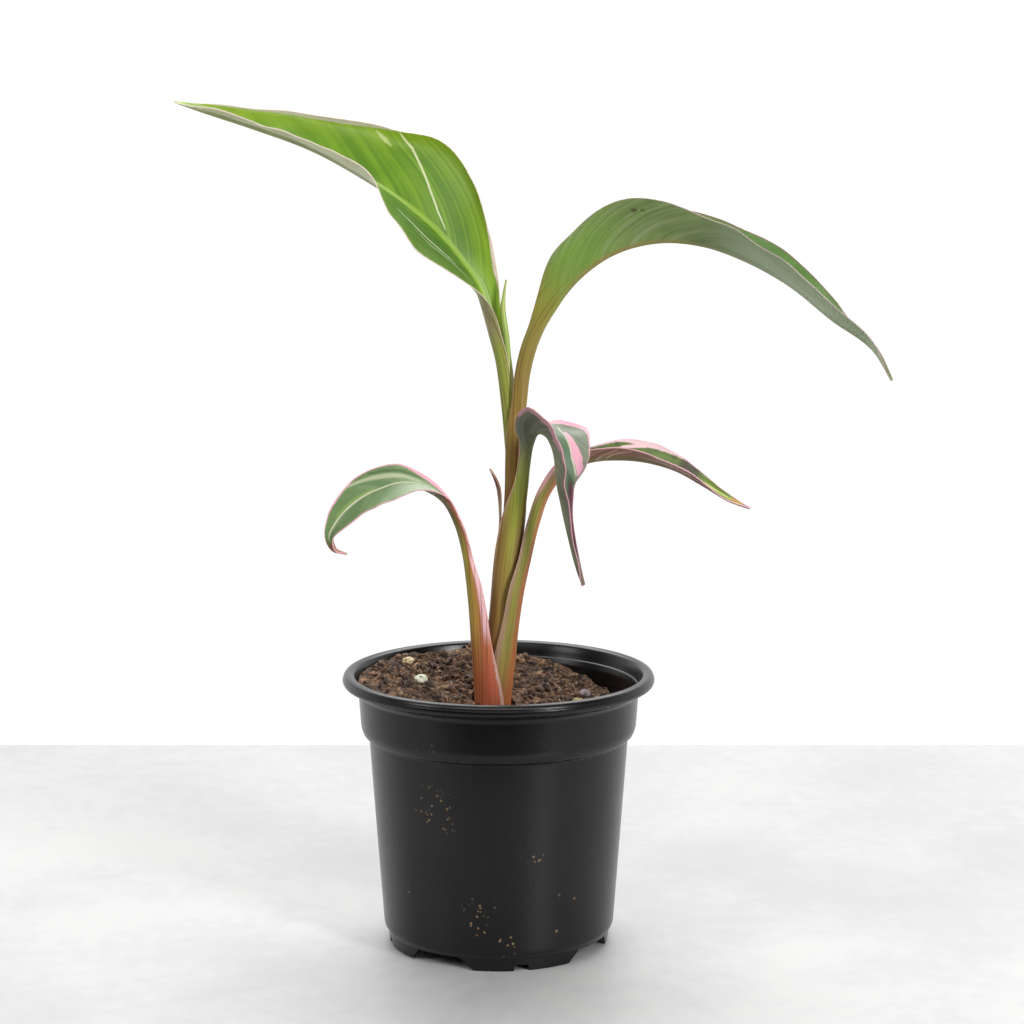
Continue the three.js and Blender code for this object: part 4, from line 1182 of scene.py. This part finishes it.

# Colours of each leaf: the dark and light of its upper face, its glow (painted light along the
# margin, over a yellower tone of its own), the dark and light of its underside, its bloom, its
# midrib from above and below, and its margin. The petiole's colours are set at shares of the
# leaf's length: its face towards the stem, its outside, the lines on that and its margin.
# edge_width is the coloured margin's width, and rib_half half the midrib's
LOOKS = {"leaf_upper_left": {
    "top": [(76, 118, 12), (116, 154, 28)], "painted_glow": (156, 178, 48),
    "under": [(134, 150, 86), (164, 174, 114)], "bloom": (180, 184, 144),
    "ribs": [(150, 182, 70), (156, 168, 92)], "edge": (236, 216, 206),
    "petiole_top": [(0, 150, 120, 60), (0.35, 150, 170, 60), (0.7, 130, 174, 52)],
    "petiole_under": [(0, 140, 90, 56), (0.3, 140, 140, 56), (0.5, 146, 152, 62), (0.65, 160, 162, 74)],
    "petiole_line": [(0, 120, 70, 44), (0.3, 124, 116, 52), (0.5, 130, 144, 56), (0.65, 140, 160, 70)],
    "petiole_edge": [(0, 170, 130, 110), (0.5, 198, 176, 150), (0.65, 228, 206, 196)],
    "painted_glow_share": 0.45, "painted_glow_width": 11.0, "edge_width": 0.22, "rib_half": 1.1, "rib_share": 0.85,
}, "leaf_upper_right": {
    "top": [(54, 92, 24), (84, 124, 40)], "painted_glow": (96, 130, 56),
    "under": [(104, 132, 66), (136, 158, 92)], "bloom": (158, 166, 132),
    "ribs": [(140, 176, 80), (150, 146, 84)], "edge": (168, 146, 146),
    "petiole_top": [(0, 150, 110, 60), (0.4, 150, 150, 60)],
    "petiole_under": [(0, 140, 96, 56), (0.3, 142, 104, 50), (0.46, 150, 124, 56), (0.58, 148, 140, 60)],
    "petiole_line": [(0, 112, 66, 44), (0.3, 124, 88, 44), (0.46, 130, 112, 50), (0.58, 150, 156, 74)],
    "petiole_edge": [(0, 150, 110, 90), (0.6, 170, 140, 116)],
    "bloom_share": 0.45, "keel_share": 0.75, "edge_width": 0.16, "rib_half": 1.3,
}, "leaf_front_drooping": {
    "top": [(90, 104, 84), (122, 132, 110)], "painted_glow": (138, 138, 124),
    "under": [(88, 94, 72), (124, 126, 104)], "bloom": (146, 142, 126),
    "ribs": [(96, 124, 88), (128, 132, 96)], "edge": (214, 156, 170),
    "petiole_top": [(0, 140, 110, 60), (0.4, 130, 140, 60)],
    "petiole_under": [(0, 120, 66, 40), (0.2, 146, 102, 54), (0.36, 156, 136, 58), (0.5, 164, 174, 60),
                      (0.64, 156, 168, 84)],
    "petiole_line": [(0, 96, 46, 32), (0.2, 122, 76, 46), (0.36, 130, 104, 46), (0.5, 142, 146, 52),
                     (0.64, 132, 146, 82)],
    "petiole_edge": [(0, 140, 96, 64), (0.36, 160, 124, 84), (0.5, 204, 150, 140), (0.62, 222, 160, 168)],
    "rib_share": 0.5, "edge_width": 0.2, "edge_share": 0.7, "rib_half": 1.0, "roughness": 0.5,
}, "leaf_right": {
    "top": [(70, 96, 36), (98, 122, 48)], "painted_glow": (98, 112, 56),
    "under": [(130, 90, 72), (166, 124, 104)], "bloom": (182, 142, 128),
    "ribs": [(120, 140, 70), (142, 134, 84)], "edge": (226, 166, 184),
    "petiole_top": [(0, 140, 96, 60), (0.5, 116, 124, 62)],
    "petiole_under": [(0, 112, 40, 24), (0.12, 140, 70, 38), (0.26, 140, 130, 52), (0.5, 146, 150, 58),
                      (0.66, 134, 122, 62)],
    "petiole_line": [(0, 136, 52, 34), (0.12, 150, 92, 50), (0.26, 116, 104, 46), (0.5, 122, 124, 50),
                     (0.66, 150, 130, 78)],
    "petiole_edge": [(0, 150, 96, 76), (0.3, 176, 144, 126), (0.46, 196, 156, 148), (0.6, 232, 180, 190)],
    "keel_share": 0.9, "edge_width": 0.22, "edge_share": 0.75, "rib_half": 1.1,
}, "leaf_lower_left": {
    "top": [(88, 120, 70), (122, 146, 98)], "painted_glow": (110, 138, 80),
    "under": [(120, 118, 84), (156, 148, 116)], "bloom": (170, 160, 136),
    "ribs": [(112, 136, 84), (150, 122, 88)], "edge": (222, 166, 178),
    "petiole_top": [(0, 150, 100, 70), (0.5, 126, 118, 70)],
    "petiole_under": [(0, 92, 36, 22), (0.1, 134, 66, 36), (0.24, 164, 96, 54), (0.36, 164, 128, 56),
                      (0.5, 158, 146, 58), (0.6, 112, 104, 58)],
    "petiole_line": [(0, 124, 40, 32), (0.1, 160, 82, 52), (0.24, 160, 70, 54), (0.36, 180, 148, 70),
                     (0.5, 130, 122, 46), (0.6, 96, 88, 52)],
    "petiole_edge": [(0, 206, 130, 120), (0.4, 206, 140, 130), (0.6, 226, 162, 170)],
    "edge_width": 0.26, "rib_half": 0.6, "rib_share": 0.3,
}, "old_sheath_stub": {
    "top": [(116, 96, 54), (140, 120, 72)], "painted_glow": (140, 100, 60),
    "under": [(110, 80, 44), (150, 116, 66)], "bloom": (150, 120, 80),
    "ribs": [(140, 110, 60), (120, 90, 50)], "edge": (200, 170, 146),
    "petiole_top": [(0, 140, 100, 60), (0.8, 140, 124, 70), (0.9, 120, 90, 56)],
    "petiole_under": [(0, 120, 66, 40), (0.4, 136, 104, 52), (0.8, 146, 134, 66), (0.9, 138, 104, 62),
                      (0.96, 112, 62, 48)],
    "petiole_line": [(0, 110, 60, 40), (0.4, 116, 88, 44), (0.8, 126, 112, 56), (0.92, 92, 54, 40)],
    "petiole_edge": [(0, 150, 110, 84), (0.8, 160, 130, 86), (0.9, 170, 130, 110)],
    "edge_width": 0.3, "rib_half": 0.8,
}}

PINK = (232, 168, 188)
PALE_PINK = (240, 200, 212)
CREAM = (206, 206, 174)

# Streaks, bands and patches of variegation on each leaf: the face they are on, their colour,
# strength, raggedness and softness, and their places. share runs from -1 at the left margin to
# 1 at the right one, and vein is the place where a lateral vein leaves the midrib
MARKS = {"leaf_upper_left": [
    patch("top", (70, 106, 46), 0.7, share=(-1, -0.12, 0.1), along=(186, 246, 14)),
    line("top", (216, 220, 176), 0.85, 0.3, 0.2, [(218, 2.5, 0.2), (224.5, 5.6, 0.4), (232, 10.6, 0.5),
         (239.5, 16.4, 0.5), (246.5, 21.9, 0.5), (253.5, 24.7, 0.3)]),
    line("top", (196, 206, 140), 0.7, 1.2, 0.4, [(253.5, 18.6, 0.2), (257, 19.6, 0.9),
         (261.5, 20.6, 0.3)]),
    line("top", (206, 212, 186), 0.7, 0.4, 0.2, [(205, -4.6, 0.1), (215, -6.6, 0.25), (226, -8.8, 0.35),
         (236, -9.6, 0.2)]),
    line("top", (176, 188, 150), 0.6, 0.6, 0.2, [(196, -3.2, 0.1), (206, -5.8, 0.3), (216, -8.4, 0.25),
         (226, -10.6, 0.1)]),
    hem("top", "right", (182, 172, 160), 0.9, 1.0, 0.3, [(254, 0.2), (262, 1.3), (272, 2.0), (284, 1.6),
        (300, 0.9), (320, 0.5)]),
    hem("top", "right", (232, 208, 200), 0.9, 0.6, 0.3, [(190, 0.4), (196, 1.5), (203, 1.3), (210, 0.3)]),
    # Pale strip under the left half: the underside's own pale colour, made paler still with painted light
    # that lifts the shade this downward face lies in
    patch("under", (220, 222, 182), 0.75, share=(-1.1, -0.45, 0.15), along=(194, 340, 10)),
    patch("under", (150, 132, 112), 0.6, share=(-1.1, 0, 0.1), along=(172, 190, 5)),
], "leaf_upper_right": [
    patch("under", (74, 52, 34), 0.8, along=(232.0, 233.8, 0.4), across=(14.4, 15.8, 0.5)),
    patch("under", (74, 52, 34), 0.7, along=(234.8, 236.2, 0.3), across=(14.4, 15.4, 0.4)),
    patch("under", (122, 160, 50), 0.55, share=(-1, 0.9, 0.2), along=(190, 224, 14)),
    patch("under", (150, 134, 78), 0.8, along=(196, 236, 6), across=(-0.9, 0.9, 0.5)),
    patch("under", (178, 194, 162), 0.6, share=(-1.1, 1.1, 0.1), along=(262, 345, 16)),
    patch("top", (112, 112, 84), 0.8, along=(318, 346, 8)),
    hem("top", "left", (124, 84, 84), 0.9, 0.4, 0.25, [(196, 0.3), (230, 0.5), (290, 0.5), (338, 0.3)]),
    patch("under", (168, 174, 146), 0.35, across=(1, 12, 2), vein=(213.5, 215, 0.5)),
    patch("under", (168, 174, 146), 0.3, across=(1, 12, 2), vein=(226, 228, 0.6)),
    patch("under", (168, 174, 146), 0.3, across=(1, 9, 2), vein=(241, 243, 0.6)),
], "leaf_front_drooping": [
    line("top", (84, 112, 80), 0.9, 1.2, 0.4, [(143, -6.5, 0.6), (148, -5.5, 1.8), (157, -3.4, 2.6),
         (163, -3.6, 2.2), (169, -4.4, 1.4), (176, -3.0, 0.6)]),
    line("top", (62, 78, 62), 0.8, 1.0, 0.5, [(162, -3.0, 0.2), (168, -4.2, 0.9), (174, -3.4, 0.8),
         (180, -2.2, 0.3)]),
    line("top", CREAM, 0.9, 0.3, 0.25, [(144, -8.6, 0.35), (150, -7.9, 0.35), (160, -6.1, 0.3),
         (166.5, -6.6, 0.25)]),
    line("top", PINK, 0.9, 1.0, 0.3, [(148, -9.2, 0.5), (154, -8.8, 1.3), (160, -8.3, 2.1),
         (164, -8.2, 1.3), (166.5, -7.4, 0.3)]),
    line("top", (214, 148, 174), 0.9, 0.5, 0.3, [(160, -9.4, 0.3), (163.5, -8.9, 0.6),
         (165.5, -8.2, 0.3)]),
    hem("top", "left", PINK, 0.9, 1.4, 0.4, [(136, 1.2), (142, 2.6), (148, 2.4), (154, 0.8), (160, 0.2)]),
    hem("under", "right", (206, 152, 164), 0.85, 2.2, 0.5, [(142, 1.0), (147, 2.4), (152, 2.4),
        (157, 1.2), (162, 0.4)]),
    hem("under", "right", (160, 116, 120), 0.55, 0.8, 0.3, [(158, 0.3), (166, 0.8), (180, 0.7),
        (205, 0.5)]),
    patch("under", (86, 92, 80), 0.6, share=(0.15, 0.8, 0.2), along=(134, 147, 5)),
    line("top", (104, 56, 76), 0.85, 1.0, 0.3, [(168, -4.6, 0.3), (174, -3.6, 0.9), (184, -2.2, 1.0),
         (198, -0.8, 0.7)]),
    patch("both", (96, 82, 66), 0.8, along=(202, 212, 4)),
    hem("top", "left", (196, 138, 150), 0.45, 0.8, 0.3, [(165, 0.2), (170, 0.7), (182, 0.4), (196, 0.2)]),
    patch("top", (76, 92, 66), 0.5, share=(-0.5, 0.6, 0.2), along=(140, 152, 5)),
    patch("under", (132, 84, 52), 0.7, share=(-1.1, 0.14, 0.16), along=(30, 112, 14)),
    patch("under", (140, 96, 54), 0.7, share=(0.45, 1.1, 0.25), along=(0, 108, 12)),
    patch("under", (196, 150, 128), 0.65, share=(0.86, 1.1, 0.06), along=(84, 132, 8)),
], "leaf_right": [
    hem("top", "left", PALE_PINK, 0.9, 0.8, 0.3, [(138, 0.6), (147, 0.9), (152, 1.6), (157, 2.4),
        (162, 2.0), (168, 1.1), (176, 0.5), (188, 0.3)]),
    line("top", PALE_PINK, 0.9, 0.8, 0.3, [(146, -3.4, 0.3), (150, -4.6, 0.6), (154, -5.2, 0.8),
         (158, -5.2, 0.3)]),
    patch("top", (62, 58, 42), 0.7, along=(146.4, 148.2, 0.6), across=(-6.6, -5.2, 0.6)),
    patch("top", (62, 58, 42), 0.7, along=(167.6, 169.4, 0.6), across=(-5.0, -3.6, 0.6)),
    patch("top", (60, 46, 38), 0.85, along=(171.5, 180.5, 2.0), across=(-5.4, -0.8, 1.0), ragged=2.0),
    patch("top", (102, 126, 42), 0.85, along=(180, 196, 3)),
    patch("top", (206, 216, 110), 0.8, along=(181, 196, 2), across=(-0.9, -0.3, 0.25), ragged=0.2),
    patch("top", (206, 216, 110), 0.7, along=(183, 197, 2), across=(0.6, 1.1, 0.25), ragged=0.2),
    patch("under", (120, 124, 84), 0.7, share=(-0.3, 0.34, 0.12), along=(130, 165, 6)),
    line("under", (214, 184, 164), 0.75, 0.3, 0.25, [(140, 1.0, 0.3), (143, 3.2, 0.4), (149, 7.6, 0.3)]),
    line("under", (216, 180, 168), 0.75, 0.3, 0.25, [(144, 1.4, 0.3), (148, 4.2, 0.4), (154, 7.6, 0.3)]),
    hem("under", "right", (192, 148, 146), 0.7, 0.5, 0.3, [(138, 0.4), (150, 0.6), (165, 0.8), (178, 0.6),
        (184, 0.2)]),
    patch("under", (128, 62, 48), 0.7, share=(0, 1.1, 0.02), along=(178, 194, 4)),
    patch("both", (180, 142, 86), 0.85, along=(194.5, 199, 1.2)),
    patch("both", (92, 62, 52), 0.85, along=(199.5, 204, 1.0)),
    patch("under", (172, 100, 60), 0.85, share=(-1.1, 0.34, 0.16), along=(20, 132, 12)),
    patch("under", (158, 124, 104), 0.75, share=(0.78, 1.1, 0.08), along=(30, 108, 12)),
    patch("under", (236, 178, 186), 0.8, share=(0.7, 1.1, 0.12), along=(114, 136, 6)),
], "leaf_lower_left": [
    line("top", CREAM, 0.9, 0.2, 0.2, [(124, 0.8, 0.2), (132, 0.4, 0.3), (140, -0.2, 0.35),
         (150, 0.4, 0.4), (160, 0.9, 0.4), (168, 1.0, 0.3)]),
    line("top", (190, 196, 158), 0.8, 0.5, 0.5, [(124, 1.8, 0.4), (130, 3.1, 0.7), (135, 4.0, 1.0),
         (140, 4.9, 0.9), (145, 6.0, 0.6), (150, 7.2, 0.5), (154, 7.4, 0.2)]),
    line("top", (66, 98, 46), 0.75, 0.5, 0.5, [(124, 3.2, 0.3), (130, 5.0, 0.6), (136, 6.3, 0.6),
         (142, 7.2, 0.4)]),
    line("top", (150, 182, 66), 0.6, 0.3, 0.4, [(142, 0.6, 0.3), (152, 1.6, 0.4), (160, 1.9, 0.2)]),
    patch("top", (168, 178, 158), 0.55, share=(-0.9, 0.5, 0.2), along=(112, 130, 8)),
    hem("top", "right", (236, 168, 196), 0.9, 0.4, 0.25, [(106, 0.6), (114, 0.9), (121, 1.5), (126, 1.3),
        (132, 0.6), (140, 0.3), (148, 0.5), (156, 0.7), (164, 0.3)]),
    hem("top", "left", (206, 160, 150), 0.9, 0.3, 0.25, [(110, 0.3), (140, 0.4), (165, 0.3)]),
    patch("under", (150, 72, 56), 0.7, share=(-1.1, -0.55, 0.15), along=(92, 116, 8)),
    patch("under", (186, 92, 74), 0.6, share=(-1.1, -0.45, 0.2), along=(30, 92, 10)),
    patch("under", (238, 192, 200), 0.85, share=(-1.1, -0.62, 0.08), along=(58, 90, 5)),
    hem("under", "left", (186, 176, 164), 0.6, 1.4, 0.3, [(16, 0.4), (24, 1.6), (36, 1.2), (48, 0.9),
        (54, 0.2)]),
    patch("both", (150, 92, 68), 0.9, along=(169.5, 178, 1.2)),
]}

# Where earth has splashed on the pot: place and radius in millimetres
SPLASHES = [((-25, -43, 62), 13), ((-5.6, -46, 22), 11), ((3, -45, 11), 6), ((-31, -33, 28), 6),
            ((-24, -49, 90), 6), ((14, -46, 46), 5), ((30, 36, 40), 14), ((-36, 26, 70), 9)]


def pot_material():
    paint = new_paint("black_moulded_plastic")
    spot = paint.place()
    cloud = paint.noise(spot, 60.0)
    specks = paint.rising(paint.cells(spot, 260.0), 0.2, 0.1)
    specks *= paint.rising(paint.noise(spot, 34.0, 2.0), 0.6, 0.68)
    specks *= paint.rising(cloud, 0.5, 0.6)
    bits = paint.rising(paint.cells(spot, 520.0), 0.3, 0.2)
    bits *= paint.rising(paint.noise(spot, 190.0, 2.0), 0.5, 0.58)
    for (x, y, z), radius in SPLASHES:
        point = (AXIS_X + x * MM, y * MM, z * MM)
        splash = bits * paint.near(spot, point, radius * MM)
        specks = paint.maths("MAXIMUM", specks, splash)
    plastic = paint.mix(paint.rising(cloud, 0.3, 0.7), (10, 9, 10), (14, 13, 14))
    colour = paint.mix(specks, plastic, (122, 100, 74))
    gloss = 0.28 + (cloud - 0.5) * 0.08 + specks * 0.4
    paint.finish(Specular_IOR_Level=0.36)
    return paint.surface(colour, gloss, paint.noise(spot, 900.0, 2.0) * 0.1 + specks, 0.00006, 0.5)


# Colours of the peat from its pits to its crests: painted shade in the pits and painted highlight on the
# crests, over the peat's own varied colour; and the tints of its crumbs and fibres
PEAT_SHADE_AND_HIGHLIGHT_STOPS = [(0.34, 14, 10, 9), (0.45, 50, 35, 27), (0.54, 100, 72, 52), (0.66, 172, 140, 104)]
CRUMB_TINTS = [(0, 20, 14, 12), (0.25, 48, 33, 26), (0.45, 96, 66, 48), (0.62, 136, 92, 68),
               (0.75, 88, 74, 56), (0.88, 178, 144, 108), (1, 58, 50, 40)]
FIBRE_TINTS = [(0, 60, 40, 30), (0.4, 128, 92, 64), (0.8, 176, 140, 100), (1, 206, 176, 132)]


def soil_material(name, tints=None):
    paint = new_paint(name)
    spot = paint.place()
    coarse = paint.noise(spot, 170.0, 4.0, 0.65)
    fine = paint.noise(spot, 620.0, 4.0, 0.7)
    # Painted shade and painted highlight: the colour follows the same noise as the relief, darkest in its
    # pits and palest on its crests
    colour = paint.shades(coarse * 0.6 + fine * 0.4, PEAT_SHADE_AND_HIGHLIGHT_STOPS)
    if tints:
        own = paint.shades(paint.attribute("crumb")[0], tints)
        colour = paint.mix(0.6, colour, own)
        # Painted shade: the crumbs and fibres are darkened where the fine relief is low, in its hollows
        colour = paint.mix(paint.rising(fine, 0.6, 0.4) * 0.6, colour, (30, 20, 17))
    return paint.surface(colour, 0.8 + fine * 0.2, coarse + fine, 0.0006, 0.9)


def lump_material(name, dark, light, pit):
    paint = new_paint(name + "_grain")
    grain = paint.noise(paint.place(), 700.0, 4.0, 0.65)
    patches = paint.noise(paint.place(), 260.0)
    colour = paint.mix(paint.rising(patches, 0.38, 0.62), dark, light)
    colour = paint.mix(paint.rising(grain, 0.46, 0.36), colour, pit)
    return paint.surface(colour, 0.75 + grain * 0.2, grain + patches, 0.0004, 0.9)


def roll_material():
    paint = new_paint("new_leaf_roll_skin")
    along, share, radius = paint.attribute("roll_place")
    lines = paint.noise(paint.vector(along * 0.03, share * 9.0), 1.0)
    mottle = paint.noise(paint.place(), 160.0)
    colour = paint.mix(paint.rising(lines, 0.4, 0.62), (118, 152, 62), (176, 190, 104))
    colour = paint.mix(paint.rising(share, 0.94, 1.0), colour, (226, 214, 190))
    paint.finish(Subsurface_Weight=0.2, Subsurface_Radius=(0.9, 1.0, 0.4), Subsurface_Scale=0.001)
    return paint.surface(colour, 0.36 + mottle * 0.16, lines + mottle, 0.0001, 0.7)


def corm_material():
    paint = new_paint("corm_skin")
    rings = paint.noise(paint.place(), 240.0, 4.0, 0.65)
    scars = paint.noise(paint.place(), 70.0)
    colour = paint.mix(paint.rising(rings, 0.35, 0.65), (92, 62, 42), (150, 112, 78))
    colour = paint.mix(paint.rising(scars, 0.55, 0.68), colour, (196, 168, 134))
    return paint.surface(colour, 0.7 + rings * 0.2, rings + scars, 0.0005, 0.8)


# Camera: place of the lens, downward tilt in degrees, and focal length on a 36 mm frame
CAMERA_X = 5.19
CAMERA_Y = -1016.9
CAMERA_Z = 333.4
CAMERA_TILT = 9.177
CAMERA_LENS = 94.45

# The table: its far and near edge, and half its width
TABLE_BACK = 307.0
TABLE_FRONT = -205.0
TABLE_HALF = 1600.0

# Strength of the surroundings from the viewer's side to behind the table, and as the camera
# sees them
WORLD_FADE = {"From Min": -0.1, "From Max": 0.5, "To Min": 0.05, "To Max": 1.0}
WORLD_SEEN = 1.05

# Soft boxes: name, place, the point they look at, width, height (metres) and watts
SOFT_BOXES = [
    ("top_box", (0.0, 0.75, 1.2), (0, 0, 0.05), 1.6, 1.0, 22.0),
    ("front_box", (-0.2, -1.5, 1.7), (0, 0, 0.15), 2.0, 0.9, 16.0),
    ("right_box", (0.9, -1.07, 0.55), (0, 0, 0.1), 0.24, 1.0, 18.0),
    ("left_box", (-1.3, -0.7, 1.0), (0, 0, 0.15), 0.5, 0.7, 7.0),
]


def make_camera():
    camera = bpy.data.cameras.new("camera")
    camera.lens = CAMERA_LENS
    camera.sensor_width = 36
    camera.clip_start = 0.01
    holder = placed("camera", camera)
    holder.location = (CAMERA_X * MM + AXIS_X, CAMERA_Y * MM, CAMERA_Z * MM)
    holder.rotation_euler = (math.radians(90 - CAMERA_TILT), 0, 0)
    bpy.context.scene.camera = holder


def table_material():
    paint = new_paint("pale_table")
    clouds = paint.noise(paint.place(), 3.2, 4.0, 0.6)
    wisps = paint.noise(paint.place(), 14.0, 4.0, 0.6)
    grain = paint.noise(paint.place(), 120.0)
    mixture = clouds * 0.4 + wisps * 0.35 + grain * 0.25
    colour = paint.mix(paint.rising(mixture, 0.4, 0.6), (179, 179, 180), (190, 190, 189))
    return paint.surface(colour, 0.4 + grain * 0.12, grain + wisps, 0.0003, 0.25)


def make_table():
    mesh = bpy.data.meshes.new("table")
    corners = [(-TABLE_HALF, TABLE_FRONT), (TABLE_HALF, TABLE_FRONT), (TABLE_HALF, TABLE_BACK),
               (-TABLE_HALF, TABLE_BACK)]
    mesh.from_pydata([(x * MM, y * MM, 0) for x, y in corners], [], [(0, 1, 2, 3)])
    mesh.materials.append(table_material())
    table = placed("table", mesh)


def make_world():
    """A white studio: bright behind the table, dark on the viewer's side."""
    world = bpy.data.worlds.new("studio")
    paint = Paint(world)
    direction = paint.value("Generated", "TexCoord", {})
    depth = paint.split("SeparateXYZ", {0: direction})[1]
    light = paint.value("Result", "MapRange", {**WORLD_FADE, "Value": depth},
                        interpolation_type="SMOOTHSTEP")
    given = paint.tree.nodes["Background"]
    given.inputs["Color"].default_value = (1, 1, 1, 1)
    paint.put(given.inputs["Strength"], light)
    seen = paint.value(0, "Background", {"Color": (1, 1, 1, 1), "Strength": WORLD_SEEN})
    by_camera = paint.value("Is Camera Ray", "LightPath", {})
    shaders = {0: by_camera, 1: Value(paint, given.outputs[0]), 2: seen}
    both = paint.value(0, "MixShader", shaders)
    paint.put(paint.tree.nodes["World Output"].inputs["Surface"], both)
    bpy.context.scene.world = world
    bpy.context.scene.view_settings.view_transform = "Standard"


def make_lights():
    for name, place, target, width, height, watts in SOFT_BOXES:
        light = bpy.data.lights.new(name, "AREA")
        light.shape = "RECTANGLE"
        light.size = width
        light.size_y = height
        light.energy = watts
        box = placed(name, light)
        box.location = place
        box.rotation_euler = (Vector(target) - Vector(place)).to_track_quat("-Z", "Y").to_euler()


make_camera()
make_table()
make_world()
make_lights()

make_pot(pot_material())
make_soil(soil_material("peat_bed"))
make_crumbs(soil_material("peat_crumbs", CRUMB_TINTS))
make_fibres(soil_material("peat_fibres", FIBRE_TINTS))
for seed, (lump, x, y, size, *colours) in enumerate(LUMPS):
    make_lump(lump, x, y, size, seed, lump_material(lump, *colours))
make_roll(roll_material())
for leaf in LEAVES:
    make_leaf(leaf, leaf_material(leaf))

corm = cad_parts["corm"]
corm.material_slots[0].material = corm_material()
